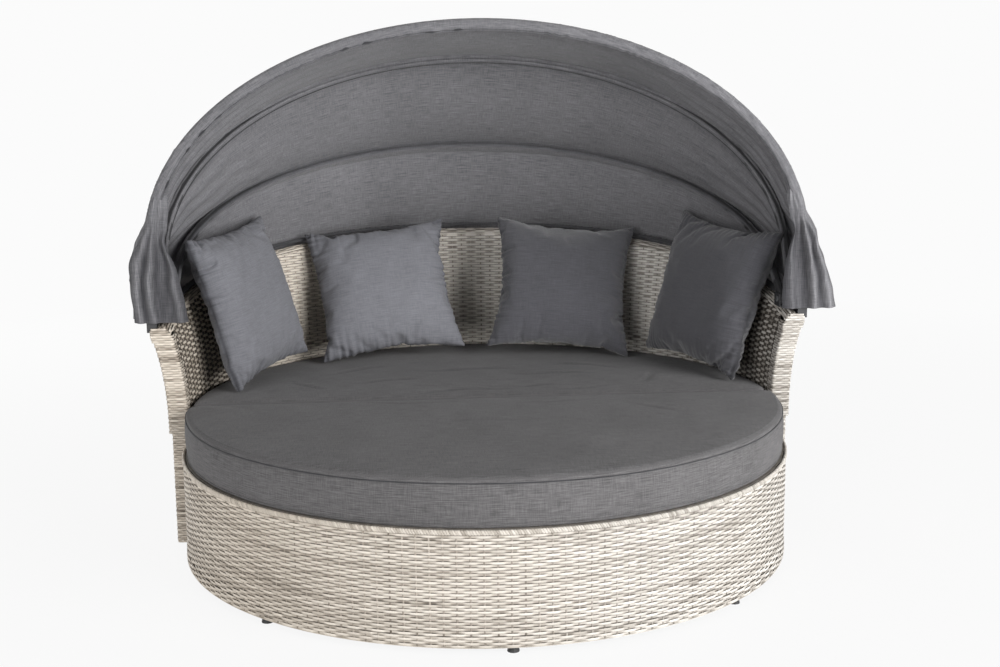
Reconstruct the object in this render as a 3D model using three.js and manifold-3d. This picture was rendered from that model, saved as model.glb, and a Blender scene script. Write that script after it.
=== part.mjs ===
// A round outdoor daybed in millimetres: a half-round sofa whose woven back carries a folding cloth
// canopy, and a half-round footstool that closes the circle. +X is to the right as seen from the
// front, +Y is to the back, +Z is up and the floor is at zero. Shapes are drawn about the centre of
// the circle, and the finished group is moved so that its origin lies below the middle of its box.
import * as THREE from "three";
import { mergeVertices } from "three/addons/utils/BufferGeometryUtils.js";
import Module from "manifold-3d";

const wasm = await Module();
wasm.setup();

// Fits and small sizes shared by all pieces
const gap = 0.3;
const weld = 0.001;
const weaveThickness = 6;
const frameClearance = 3;
const wrapClearance = 1.6;
const tubeRadius = 11;
const chordTubeRadius = 10.6;
const barRadius = 10.2;
const tubeSides = 6;
const ringSteps = 12;

// Plan of the circle
const splitGap = 4;
const footstoolRadius = 800;
const baseOverhang = 35;
const backStep = 8;

// Heights
const footHeight = 14;
const deckHeight = 283;
const deckThickness = 10;
const backSeatRise = 33;
const armHeight = 609;
const backRise = 166;
const railPower = 2.23;

// Woven back and arms
const backThickness = 55;
const backFlare = 45;
const flarePower = 2.5;
const armDepth = 40;
const railWidth = 60;
const railRise = 26;
const railSideDrop = 22;
const railTubeDrop = 30;
const cornerWidth = 40;
const uprightSpaces = 6;
const arcSteps = 24;
const shellRows = 4;
const innerShellRows = 5;
const archSteps = 6;

// Braided edges of the footstool and the base
const braidProud = 2;
const rimBraidHeight = 12;
const hemBraidHeight = 26;

// Feet
const footRadius = 14;
const footTopShare = 0.8;
const footSides = 12;
const footAngles = [45, 90, 135];
const cornerFootInset = 90;

// Seat and footstool cushions
const cushionThickness = 112;
const cushionCrown = 10;
const crownReach = 55;
const cushionCornerRadius = 30;
const cushionFrontGap = 2;
const footstoolCushionInset = 10;
const seatCushionClearance = 7;
const seamInset = 2;
const underSeamInset = 10;
const underSeamHeight = 8;
const topSeamDrop = 6;
const cushionBulge = 2;
const crownRings = [0, 0.25, 1, 2, 4, 7];
const middleShare = 0.4;
const cornerSteps = 3;

// Scatter pillows
const pillowHeightShare = 1.158;
const pillowPlumpShare = 0.318;
const pillowSeam = 4;
const pillowGap = 0.75;
const pillowSteps = 10;
const pillowDrawInShare = 0.07;
const pillowSwellPower = 0.6;
const farLeftToWall = 30;
const leftToWall = 0;
const rightToWall = -10;
const farRightToWall = 42;

// Canopy hoops and their pivots
const pivotBack = 30;
const pivotRise = 31;
const hoopOverhang = 11.5;
const hoopLeg = 165;
const hoopRise = 575;
const hoopRadius = 10;
const hoopSteps = 28;
const hoopSides = 8;
const roundSides = 16;
const boltSides = 12;
const eyeRadius = 15;
const boltRadius = 4;
const boltPlay = 0.5;
const washerThickness = 4;
const washerRadius = 17;
const washerInset = 0.3;
const frontTilt = 90;
const middleTilt = 62.5;
const rearTilt = 33;

// Pivot brackets
const plateThickness = 4;
const bracketFront = 12;
const bracketBack = 62;
const eyeClearance = 2;
const saddleDepth = 34;
const screwBack = 53;
const screwRadius = 3;
const screwHeadRadius = 6;
const headHeight = 4;
const screwBite = 36;
const nutRadius = 8;
const nutHeight = 7;

// Canopy cloth
const clothThickness = 2;
const clothSlope = 28;
const sagShare = 0.05;
const clothRows = 6;
const skirtColumns = 3;
const skirtHoopSteps = 2;
const skirtDrop = 22;
const skirtFlare = 55;
const skirtCurve = 1.4;
const pleatDepth = 14;
const hemDrop = 35;
const hemTop = 12;
const hemClearance = 2.2;
const hemSpread = 45;
const sleeveTurn = 110;
const sleeveRows = 2;

// Values worked out from the sizes above
const backSeatHeight = deckHeight + backSeatRise;
const pivotHeight = armHeight + pivotRise;
const skirtBottom = pivotHeight - skirtDrop;
const baseRadius = footstoolRadius + baseOverhang;
const backFootRadius = baseRadius + backStep;
const halfBack = backThickness / 2;
const halfRail = railWidth / 2;
const backMiddleRadius = backFootRadius - halfBack;
const railRadius = backMiddleRadius + backFlare;
const hoopHalfWidth = railRadius + hoopOverhang;
const tubeFlat = tubeRadius * Math.cos(Math.PI / tubeSides);
const ringHeight = deckHeight - deckThickness - gap - tubeFlat;
const lowRingHeight = footHeight + gap + tubeFlat;
const topRingHeight = backSeatHeight - tubeFlat;
const backRailHeight = backSeatHeight + gap + tubeFlat;
const footstoolRing = footstoolRadius - weaveThickness - frameClearance - tubeRadius;
const baseRing = baseRadius - weaveThickness - frameClearance - tubeRadius;
const straightTube = splitGap + weaveThickness + frameClearance + tubeRadius;
const cushionFront = splitGap + cushionFrontGap;
const pillowSize = pillowHeightShare * (armHeight + backRise - deckHeight - cushionThickness);
const pillowThickness = pillowPlumpShare * pillowSize;
const seatRadius = backFootRadius - backThickness - seatCushionClearance;
const footstoolCushionRadius = footstoolRadius - footstoolCushionInset;
const hoopPitch = 2 * hoopRadius + washerThickness + 2 * washerInset;
const clothLift = hoopRadius / Math.cos(radians(clothSlope)) + gap;
const clothColumns = hoopSteps - 2 * skirtHoopSteps + 2 * skirtColumns;
const skirtRadius = hoopHalfWidth + clothLift + skirtFlare;
const hemRadius = railRadius + halfRail + hemClearance;
const plateTop = pivotHeight - eyeRadius - eyeClearance;
const earOuter = hoopHalfWidth + hoopRadius + washerInset + plateThickness;
const earInner = hoopHalfWidth - 2 * hoopPitch - hoopRadius - washerInset - plateThickness;

const daybed = new THREE.Group();

function radians(degrees) {
  return THREE.MathUtils.degToRad(degrees);
}

function vector(x, y, z) {
  return new THREE.Vector3(x, y, z);
}

// Adds one named piece in its own material
function add(name, geometry, finish) {
  const mesh = new THREE.Mesh(geometry, new THREE.MeshStandardMaterial(finish));
  mesh.name = name;
  daybed.add(mesh);
  return mesh;
}

// Adds a piece drawn for the right-hand side, and its mirror image on the left
function addPair(name, geometry, finish) {
  add(`${name}_right`, geometry, finish);
  add(`${name}_left`, geometry.clone(), finish).scale.x = -1;
}

// A closed geometry from points and triangles, turned so that its faces look outwards
function closed(points, faces) {
  let volume = 0;
  for (const [a, b, c] of faces) {
    volume += points[a].dot(points[b].clone().cross(points[c]));
  }
  const turned = faces.map(([a, b, c]) => (volume < 0 ? [a, c, b] : [a, b, c]));
  const geometry = new THREE.BufferGeometry().setFromPoints(points);
  geometry.setIndex(turned.flat());
  return geometry;
}

// A closed solid through equal rings of points: place(point, i) puts a point of the flat section
// on ring i, and the first and last rings are capped
function loft(section, steps, place) {
  const count = section.length;
  const points = [];
  const faces = [];
  for (let i = 0; i <= steps; i++) {
    section.forEach((point) => points.push(place(point, i)));
  }
  for (let i = 0; i < steps; i++) {
    for (let k = 0; k < count; k++) {
      const a = i * count + k;
      const b = i * count + ((k + 1) % count);
      faces.push([a, b, b + count], [a, b + count, a + count]);
    }
  }
  const turn = Math.sign(THREE.ShapeUtils.area(section));
  for (const cap of THREE.ShapeUtils.triangulateShape(section, [])) {
    const same = Math.sign(THREE.ShapeUtils.area(cap.map((k) => section[k]))) === turn;
    const [a, b, c] = same ? cap : [cap[0], cap[2], cap[1]];
    const last = steps * count;
    faces.push([a, c, b], [last + a, last + b, last + c]);
  }
  return closed(points, faces);
}

// A strip section for a two-sided sheet: x is -1 on one face and 1 on the other, y runs 0 to 1
function sheetSection(rows) {
  const shares = Array.from({ length: rows + 1 }, (_, k) => k / rows);
  const front = shares.map((share) => new THREE.Vector2(1, share));
  const back = shares.reverse().map((share) => new THREE.Vector2(-1, share));
  return [...front, ...back];
}

function outline(pairs) {
  return pairs.map(([x, y]) => new THREE.Vector2(x, y));
}

function rectangle(low, high, bottom, top) {
  return outline([
    [low, bottom],
    [high, bottom],
    [high, top],
    [low, top],
  ]);
}

// A box between two corners
function block(low, high) {
  const size = high.clone().sub(low);
  const middle = low.clone().add(high).multiplyScalar(0.5);
  return new THREE.BoxGeometry(size.x, size.y, size.z).translate(middle.x, middle.y, middle.z);
}

// A straight round bar between two points, with flat sides above and below where it lies level
function rod(radius, start, end, sides) {
  const axis = end.clone().sub(start);
  const middle = start.clone().add(end).multiplyScalar(0.5);
  const turn = new THREE.Quaternion().setFromUnitVectors(vector(0, 1, 0), axis.clone().normalize());
  const flat = Math.PI / sides;
  const bar = new THREE.CylinderGeometry(radius, radius, axis.length(), sides, 1, false, flat);
  return bar.applyQuaternion(turn).translate(middle.x, middle.y, middle.z);
}

// A curve given by a formula of its share from 0 to 1
class FormulaCurve extends THREE.Curve {
  constructor(place) {
    super();
    this.place = place;
  }

  getPoint(share) {
    return this.place(share);
  }
}

// A round tube along a curve
function tube(curve, radius, steps, sides) {
  const rim = Array.from({ length: sides }, (_, k) => {
    const angle = ((k + 0.5) * 2 * Math.PI) / sides;
    return new THREE.Vector2(radius * Math.cos(angle), radius * Math.sin(angle));
  });
  const shape = new THREE.Shape(rim);
  return new THREE.ExtrudeGeometry(shape, { steps, extrudePath: curve, bevelEnabled: false });
}

function solid(geometry) {
  const bare = geometry.clone();
  bare.deleteAttribute("normal");
  bare.deleteAttribute("uv");
  const merged = mergeVertices(bare, weld);
  const vertProperties = merged.attributes.position.array;
  const triVerts = new Uint32Array(merged.index.array);
  return new wasm.Manifold(new wasm.Mesh({ numProp: 3, vertProperties, triVerts }));
}

function geometryOf(manifold) {
  const { vertProperties, triVerts } = manifold.getMesh();
  const geometry = new THREE.BufferGeometry();
  geometry.setAttribute("position", new THREE.BufferAttribute(vertProperties, 3));
  geometry.setIndex(new THREE.BufferAttribute(triVerts, 1));
  return geometry;
}

function join(...geometries) {
  return geometryOf(geometries.map(solid).reduce((whole, next) => whole.add(next)));
}

function cut(geometry, ...tools) {
  return geometryOf(tools.map(solid).reduce((whole, tool) => whole.subtract(tool), solid(geometry)));
}

// Height of the back's top edge at a plan angle from the right-hand arm
function railHeight(angle) {
  const away = Math.abs(1 - angle / radians(90));
  return armHeight + backRise * (1 - away ** railPower);
}

// A point at a radius whose plan angle runs from the plane y = start round the back to it again
function aroundBack(radius, share, height, start) {
  const first = Math.asin(start / radius);
  const angle = first + share * (Math.PI - 2 * first);
  const z = typeof height === "function" ? height(angle) : height;
  const r = typeof radius === "function" ? radius(angle, z) : radius;
  return vector(r * Math.cos(angle), r * Math.sin(angle), z);
}

// How far the back leans out at a height, between its foot and the rail above it
function flare(height, top) {
  const share = Math.max(0, (height - backSeatHeight) / (top - backSeatHeight));
  return backFlare * share ** flarePower;
}

// The lower edge of the rail wrap, measured down from the rail height, at a place across it
function railEdge(across) {
  return -railRise - (railSideDrop * (across + halfRail)) / railWidth;
}

// A point of the woven back: across is measured outwards from the middle of its thickness
function backPoint(across, height, share, start) {
  const first = Math.asin(start / (backMiddleRadius + across));
  const angle = first + share * (Math.PI - 2 * first);
  const top = railHeight(angle);
  const z = height(top);
  const radius = backMiddleRadius + across + flare(z, top);
  const end = Math.asin(start / radius);
  const fair = end + share * (Math.PI - 2 * end);
  return vector(radius * Math.cos(fair), radius * Math.sin(fair), z);
}

// A skin of the woven back from a bottom height up to the rail wrap
function backSkin(outerAcross, innerAcross, bottom, rows) {
  const section = sheetSection(rows);
  return loft(section, arcSteps, (point, i) => {
    const across = point.x > 0 ? outerAcross : innerAcross;
    const height = (top) => bottom + point.y * (top + railEdge(across) - wrapClearance - bottom);
    return backPoint(across, height, i / arcSteps, splitGap + armDepth + gap);
  });
}

// A tilted arch across the rail, from one lower edge to the other
function railArch(width, rise, drop, from, to) {
  return Array.from({ length: archSteps + 1 }, (_, k) => {
    const angle = from + ((to - from) * k) / archSteps;
    const across = width * Math.cos(angle);
    const tilt = (railSideDrop * (across + halfRail)) / railWidth;
    return new THREE.Vector2(across, rise * (Math.sin(angle) - 1) - drop - tilt);
  });
}

function placeOnRail(point, share, start) {
  return backPoint(point.x, (top) => top + point.y, share, start);
}

// The full body of the rail wrap, grown by a margin
function railBody(margin) {
  const rim = railArch(halfRail + margin, railRise + 2 * margin, -margin, 0, Math.PI);
  const start = splitGap - margin;
  return loft(rim, arcSteps, (point, i) => placeOnRail(point, i / arcSteps, start));
}

// The rail wrap round the top of the back, open below and closed at its two front ends
function railWrap() {
  const wall = weaveThickness;
  const outer = railArch(halfRail, railRise, 0, 0, Math.PI);
  const inner = railArch(halfRail - wall, railRise - wall, wall, Math.PI, 0);
  const arch = loft([...outer, ...inner], arcSteps, (point, i) =>
    placeOnRail(point, i / arcSteps, splitGap),
  );
  const plateShare = weaveThickness / (Math.PI * railRadius);
  const plates = [0, 1 - plateShare].map((from) =>
    loft(outer, 1, (point, i) => placeOnRail(point, from + i * plateShare, splitGap)),
  );
  return join(arch, ...plates);
}

// The plan section of the weave round an arm's end post: its front and both sides
function armSection() {
  const outer = halfBack;
  const inner = outer - weaveThickness;
  const back = splitGap + armDepth;
  const front = splitGap + weaveThickness;
  return outline([
    [-outer, back],
    [-outer, splitGap],
    [outer, splitGap],
    [outer, back],
    [inner, back],
    [inner, front],
    [-inner, front],
    [-inner, back],
  ]);
}

// The plan section of the weave round a corner of the base: its front and its outer side
function cornerSection() {
  const outer = cornerWidth / 2;
  const back = splitGap + armDepth;
  const front = splitGap + weaveThickness;
  return outline([
    [-outer, splitGap],
    [outer, splitGap],
    [outer, back],
    [outer - weaveThickness, back],
    [outer - weaveThickness, front],
    [-outer, front],
  ]);
}

// A plan section carried up a post whose middle is at a radius that may change with height
function postWrap(section, radiusAt, bottom, top, rows) {
  return loft(section, rows, (point, i) => {
    const z = bottom + (i / rows) * (top(point.x) - bottom);
    const radius = radiusAt(z) + point.x;
    return vector(Math.sqrt(radius ** 2 - point.y ** 2), point.y, z);
  });
}

// A band that runs round a half circle, side 1 for the back half and -1 for the front half
function halfBand(inner, outer, bottom, top, start, side) {
  return loft(rectangle(inner, outer, bottom, top), arcSteps, (point, i) => {
    const spot = aroundBack(point.x, i / arcSteps, point.y, start);
    return vector(spot.x, side * spot.y, spot.z);
  });
}

// A flat half-round board
function halfDisc(radius, front, bottom, top, side) {
  const first = Math.asin(front / radius);
  const rim = Array.from({ length: arcSteps + 1 }, (_, k) => {
    const angle = first + ((Math.PI - 2 * first) * k) / arcSteps;
    return new THREE.Vector2(radius * Math.cos(angle), side * radius * Math.sin(angle));
  });
  return loft(rim, 1, (point, i) => vector(point.x, point.y, i ? top : bottom));
}

// A level half ring of tube
function ringTube(radius, height, side) {
  const curve = new FormulaCurve((share) => {
    const spot = aroundBack(radius, share, height, straightTube);
    return vector(spot.x, side * spot.y, spot.z);
  });
  return tube(curve, tubeRadius, ringSteps, tubeSides);
}

// The straight tube that closes a half ring
function chordTube(radius, height, side) {
  const reach = Math.sqrt(radius ** 2 - straightTube ** 2);
  const y = side * straightTube;
  return rod(chordTubeRadius, vector(-reach, y, height), vector(reach, y, height), tubeSides);
}

function uprights(radius, angles, bottom, top, side) {
  return angles.map((degrees) => {
    const x = radius * Math.cos(radians(degrees));
    const y = side * radius * Math.sin(radians(degrees));
    return rod(tubeRadius, vector(x, y, bottom), vector(x, y, top), tubeSides);
  });
}

function deckBars(radius, side) {
  const spacing = radius / 2;
  return [-spacing, 0, spacing].map((x) => {
    const reach = Math.sqrt(radius ** 2 - x ** 2);
    const start = vector(x, side * straightTube, ringHeight);
    return rod(barRadius, start, vector(x, side * reach, ringHeight), tubeSides);
  });
}

function footstoolFrame() {
  const corner = THREE.MathUtils.radToDeg(Math.asin(straightTube / footstoolRing));
  const angles = [corner, ...footAngles, 180 - corner];
  return join(
    ringTube(footstoolRing, lowRingHeight, -1),
    ringTube(footstoolRing, ringHeight, -1),
    chordTube(footstoolRing, lowRingHeight, -1),
    chordTube(footstoolRing, ringHeight, -1),
    ...uprights(footstoolRing, angles, lowRingHeight, ringHeight, -1),
    ...deckBars(footstoolRing, -1),
  );
}

function baseFrame() {
  const corner = THREE.MathUtils.radToDeg(Math.asin(straightTube / baseRing));
  const angles = [corner, ...footAngles, 180 - corner];
  return join(
    ringTube(baseRing, lowRingHeight, 1),
    ringTube(baseRing, ringHeight, 1),
    ringTube(baseRing, topRingHeight, 1),
    chordTube(baseRing, lowRingHeight, 1),
    chordTube(baseRing, ringHeight, 1),
    ...uprights(baseRing, angles, lowRingHeight, topRingHeight, 1),
    ...deckBars(baseRing, 1),
  );
}

// A tube of the back frame that rises inside the weave at a share of the way round
function backUpright(share) {
  const curve = new FormulaCurve((rise) =>
    backPoint(
      0,
      (top) => backRailHeight + rise * (top - railTubeDrop - backRailHeight),
      share,
      straightTube,
    ),
  );
  return tube(curve, tubeRadius, shellRows, tubeSides);
}

// An upright round bar between two heights on one side's screw
function screwBar(side, radius, bottom, top) {
  const low = vector(side * railRadius, screwBack, bottom);
  return rod(radius, low, low.clone().setZ(top), boltSides);
}

function screwHole(side) {
  return screwBar(side, screwRadius + boltPlay, armHeight - 2 * saddleDepth, pivotHeight);
}

function backFrame() {
  const topRail = new FormulaCurve((share) =>
    placeOnRail(new THREE.Vector2(0, -railTubeDrop), share, straightTube),
  );
  const frame = join(
    ringTube(backMiddleRadius, backRailHeight, 1),
    tube(topRail, tubeRadius, arcSteps, tubeSides),
    ...Array.from({ length: uprightSpaces + 1 }, (_, k) => backUpright(k / uprightSpaces)),
  );
  return cut(frame, screwHole(1), screwHole(-1));
}

// Points along an arc, from its first angle up to but not including its last
function arcPoints(x, y, radius, from, to, steps) {
  return Array.from({ length: steps }, (_, k) => {
    const angle = from + ((to - from) * k) / steps;
    return new THREE.Vector2(x + radius * Math.cos(angle), y + radius * Math.sin(angle));
  });
}

// The half-round outline of a cushion with rounded front corners
function cushionOutline(radius, front, side) {
  const y = front + cushionCornerRadius;
  const x = Math.sqrt((radius - cushionCornerRadius) ** 2 - y ** 2);
  const turn = Math.atan2(y, x);
  const quarter = Math.PI / 2;
  const points = [
    new THREE.Vector2(0, front),
    new THREE.Vector2(x / 2, front),
    ...arcPoints(x, y, cushionCornerRadius, -quarter, turn, cornerSteps),
    ...arcPoints(0, 0, radius, turn, Math.PI - turn, arcSteps),
    ...arcPoints(-x, y, cushionCornerRadius, Math.PI - turn, 3 * quarter, cornerSteps),
    new THREE.Vector2(-x, front),
    new THREE.Vector2(-x / 2, front),
  ];
  return points.map((point) => new THREE.Vector2(point.x, side * point.y));
}

// The crown's height at a distance from the cushion's edge
function crown(distance) {
  return cushionCrown * (1 - Math.exp(-distance / crownReach));
}

// A half-round cushion: flat below, drawn in at its two seams, bulged between them and crowned
function cushion(radius, front, side) {
  const profile = [
    [underSeamInset, 0],
    [seamInset, underSeamHeight],
    [-cushionBulge, cushionThickness / 2],
    [seamInset, cushionThickness - topSeamDrop],
    [topSeamDrop, cushionThickness - seamInset],
    ...crownRings.slice(1).map((ring) => [ring * crownReach, cushionThickness]),
  ];
  const edge = cushionOutline(radius, front, side);
  const middle = new THREE.Vector2(0, side * (front + radius * middleShare));
  const bottom = deckHeight + gap;
  return loft(edge, profile.length - 1, (point, i) => {
    const [inset, height] = profile[i];
    const reach = point.distanceTo(middle);
    const spot = middle.clone().lerp(point, (reach - inset) / reach);
    const raised = height === cushionThickness ? crown(inset) : 0;
    return vector(spot.x, spot.y, bottom + height + raised);
  });
}

// A knife-edged square pillow, standing in the XZ plane, fullest in its middle
function pillow() {
  const fair = (share) => Math.sin(((2 * share - 1) * Math.PI) / 2);
  const half = pillowSize / 2;
  return loft(sheetSection(pillowSteps), pillowSteps, (point, i) => {
    const u = fair(i / pillowSteps);
    const v = fair(point.y);
    const swell = ((1 - u ** 2) * (1 - v ** 2)) ** pillowSwellPower;
    const thickness = (pillowSeam + (pillowThickness - pillowSeam) * swell) / 2;
    const x = half * u * (1 - pillowDrawInShare * (1 - v ** 2));
    const z = half * v * (1 - pillowDrawInShare * (1 - u ** 2));
    return vector(x, point.x * thickness, z);
  });
}

// Lowers a turned pillow until it rests on the facets of the cushion below it
function restOn(cushionMesh, mesh) {
  mesh.updateMatrix();
  const ray = new THREE.Raycaster();
  const down = vector(0, 0, -1);
  const points = mesh.geometry.attributes.position;
  let least = Infinity;
  for (let i = 0; i < points.count; i++) {
    const spot = new THREE.Vector3().fromBufferAttribute(points, i).applyMatrix4(mesh.matrix);
    ray.set(spot, down);
    const [hit] = ray.intersectObject(cushionMesh);
    if (hit) least = Math.min(least, hit.distance);
  }
  mesh.position.z -= least - pillowGap;
}

// One canopy hoop in its plane, which is tilted about the pivot axis by degrees above the back
class HoopCurve extends THREE.Curve {
  constructor(halfWidth, tilt) {
    super();
    this.halfWidth = halfWidth;
    this.tilt = radians(tilt);
    this.across = vector(0, -Math.sin(this.tilt), Math.cos(this.tilt));
    this.legShare = hoopLeg / (2 * hoopLeg + (Math.PI * (halfWidth + hoopRise)) / 2);
  }

  getPoint(share) {
    const { halfWidth, legShare } = this;
    const end = Math.min(share, 1 - share);
    if (end <= legShare) {
      const side = share < 0.5 ? 1 : -1;
      return this.place(side * halfWidth, (hoopLeg * end) / legShare);
    }
    const angle = (Math.PI * (share - legShare)) / (1 - 2 * legShare);
    return this.place(halfWidth * Math.cos(angle), hoopLeg + hoopRise * Math.sin(angle));
  }

  place(x, reach) {
    const y = pivotBack + reach * Math.cos(this.tilt);
    return vector(x, y, pivotHeight + reach * Math.sin(this.tilt));
  }

  // The direction out of the hoop, square to it and in its plane
  outward(share) {
    return this.getTangentAt(share).cross(this.across).normalize();
  }
}

const frontHoop = new HoopCurve(hoopHalfWidth, frontTilt);
const middleHoop = new HoopCurve(hoopHalfWidth - hoopPitch, middleTilt);
const rearHoop = new HoopCurve(hoopHalfWidth - 2 * hoopPitch, rearTilt);

// A bent tube whose ends are eyes that turn on the pivot bolts
function hoop(curve) {
  const ends = [1, -1].map((side) => vector(side * curve.halfWidth, pivotBack, pivotHeight));
  const across = vector(hoopRadius, 0, 0);
  const through = vector(2 * hoopRadius, 0, 0);
  const bars = (radius, reach) =>
    ends.map((end) => rod(radius, end.clone().sub(reach), end.clone().add(reach), roundSides));
  const whole = join(tube(curve, hoopRadius, hoopSteps, hoopSides), ...bars(eyeRadius, across));
  return cut(whole, ...bars(boltRadius + boltPlay, through));
}

// Where the cloth lies over a hoop, from the right-hand hem at 0 to the left-hand hem at 1. Below
// the last steps of the hoop it leaves it, drops and flares out as a skirt
function hoopRib(curve, column) {
  const side = column <= clothColumns / 2 ? 1 : -1;
  const fold = Math.min(column, clothColumns - column);
  const step = Math.max(fold - skirtColumns, 0) + skirtHoopSteps;
  const share = side > 0 ? step / hoopSteps : 1 - step / hoopSteps;
  const normal = curve.outward(share);
  const point = curve.getPointAt(share).addScaledVector(normal, clothLift);
  const down = Math.max(0, 1 - fold / skirtColumns);
  const hemX = Math.sqrt(skirtRadius ** 2 - point.y ** 2);
  point.x += side * (hemX - Math.abs(point.x)) * down ** skirtCurve;
  point.z += (skirtBottom - point.z) * down;
  return { point, normal, down };
}

// Where the rear panel meets the outside of the back rail, and how low it hangs there
function railRib(column, drop) {
  const { point, normal, down } = hoopRib(rearHoop, column);
  const side = Math.sign(normal.x || 1);
  const level = Math.min(column, clothColumns - column);
  const above = hoopRib(rearHoop, level < skirtColumns ? skirtColumns : level).point;
  const spread = Math.acos(Math.min(1, Math.abs(above.x) / hemRadius));
  const lowest = Math.asin((point.y + hemSpread) / hemRadius);
  const angle = spread + (lowest - spread) * down;
  const z = railHeight(angle) - drop;
  const out = vector(side * Math.cos(angle), Math.sin(angle), 0);
  const place = out.clone().multiplyScalar(hemRadius).setZ(z);
  return { point: place, normal: out, down };
}

// A cloth point between two ribs, sagging between them and pleated in the skirt
function betweenRibs(first, second, share) {
  const span = first.point.distanceTo(second.point);
  const along = (gap / 2 + share * (span - gap)) / span;
  const point = first.point.clone().lerp(second.point, along);
  const normal = first.normal.clone().lerp(second.normal, along).normalize();
  const sag = -sagShare * span * 4 * along * (1 - along) * (1 - first.down);
  const pleat = (pleatDepth * first.down * (1 - Math.cos(2 * Math.PI * along))) / 2;
  point.addScaledVector(normal, sag + pleat);
  return { point, normal };
}

// The front rows of cloth, which turn forwards round the front hoop as its sleeve
function sleevePoint(rib, turn) {
  const middle = rib.point.clone().addScaledVector(rib.normal, -clothLift);
  const normal = rib.normal.clone().multiplyScalar(Math.cos(turn));
  normal.addScaledVector(frontHoop.across, Math.sin(turn));
  return { point: middle.addScaledVector(normal, clothLift), normal };
}

// A cloth panel from rows of places: row(column, share) gives the inner face and its direction
function clothPanel(rows, row) {
  return loft(sheetSection(rows), clothColumns, (section, column) => {
    const { point, normal } = row(column, section.y);
    return point.addScaledVector(normal, section.x > 0 ? clothThickness : 0);
  });
}

function frontPanel() {
  const rows = clothRows + sleeveRows;
  return clothPanel(rows, (column, share) => {
    const rib = hoopRib(frontHoop, column);
    const place = share * rows - sleeveRows;
    if (place < 0) return sleevePoint(rib, (radians(sleeveTurn) * -place) / sleeveRows);
    return betweenRibs(rib, hoopRib(middleHoop, column), place / clothRows);
  });
}

function middlePanel() {
  return clothPanel(clothRows, (column, share) =>
    betweenRibs(hoopRib(middleHoop, column), hoopRib(rearHoop, column), share),
  );
}

function rearPanel() {
  const rows = clothRows + 1;
  return clothPanel(rows, (column, share) => {
    const place = (share * rows) / clothRows;
    if (place <= 1) return betweenRibs(hoopRib(rearHoop, column), railRib(column, hemTop), place);
    return railRib(column, hemTop + hemDrop);
  });
}

// A folded steel bracket that sits on the end of the arm's rail, with two ears for the pivot bolt
function pivotBracket() {
  const plate = block(
    vector(earInner, bracketFront, plateTop - plateThickness),
    vector(earOuter, bracketBack, plateTop),
  );
  const earTop = pivotHeight + eyeRadius;
  const ears = [
    [earInner, plateTop - plateThickness],
    [earOuter - plateThickness, plateTop - saddleDepth],
  ].map(([x, bottom]) =>
    block(vector(x, bracketFront, bottom), vector(x + plateThickness, bracketBack, earTop)),
  );
  const saddle = block(
    vector(railRadius, bracketFront, plateTop - saddleDepth),
    vector(earOuter, bracketBack, plateTop),
  );
  const reach = vector(2 * plateThickness, 0, 0);
  const holes = [earInner, earOuter].map((x) => {
    const spot = vector(x, pivotBack, pivotHeight);
    const radius = boltRadius + boltPlay;
    return rod(radius, spot.clone().sub(reach), spot.clone().add(reach), roundSides);
  });
  return cut(join(plate, ...ears, saddle), ...holes, railBody(gap), screwHole(1));
}

function pivotBolt() {
  const end = earOuter + gap + nutHeight;
  const start = vector(earInner - gap, pivotBack, pivotHeight);
  const shank = rod(boltRadius, start, vector(end, pivotBack, pivotHeight), boltSides);
  const head = rod(nutRadius, start.clone().sub(vector(headHeight, 0, 0)), start, 6);
  return join(shank, head);
}

function pivotNut() {
  const start = vector(earOuter + gap, pivotBack, pivotHeight);
  const end = vector(earOuter + gap + nutHeight, pivotBack, pivotHeight);
  const reach = vector(nutHeight, 0, 0);
  const hole = rod(boltRadius + gap, start.clone().sub(reach), end.clone().add(reach), boltSides);
  return cut(rod(nutRadius, start, end, 6), hole);
}

// The plastic washer outside the hoop that has this number, counted from the front hoop
function hoopWasher(number) {
  const x = hoopHalfWidth - number * hoopPitch + hoopRadius + washerInset;
  const start = vector(x, pivotBack, pivotHeight);
  const end = vector(x + washerThickness, pivotBack, pivotHeight);
  const reach = vector(washerThickness, 0, 0);
  const hole = rod(boltRadius + gap, start.clone().sub(reach), end.clone().add(reach), boltSides);
  return cut(rod(washerRadius, start, end, roundSides), hole);
}

function bracketScrew() {
  const seat = plateTop + gap;
  const shank = screwBar(1, screwRadius, plateTop - screwBite, seat);
  return join(shank, screwBar(1, screwHeadRadius, seat, seat + headHeight));
}

function foot(x, y) {
  const top = footRadius * footTopShare;
  const glide = new THREE.CylinderGeometry(footRadius, top, footHeight, footSides);
  return glide.rotateX(-Math.PI / 2).translate(x, y, footHeight / 2);
}

function addFeet(name, radius, side, finish) {
  const corner = Math.sqrt(radius ** 2 - straightTube ** 2) - cornerFootInset;
  const spots = footAngles.map((degrees) => {
    const angle = radians(degrees);
    return [radius * Math.cos(angle), side * radius * Math.sin(angle)];
  });
  spots.push([corner, side * straightTube], [-corner, side * straightTube]);
  spots.forEach(([x, y], i) => add(`${name}_${i + 1}`, foot(x, y), finish));
}

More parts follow.
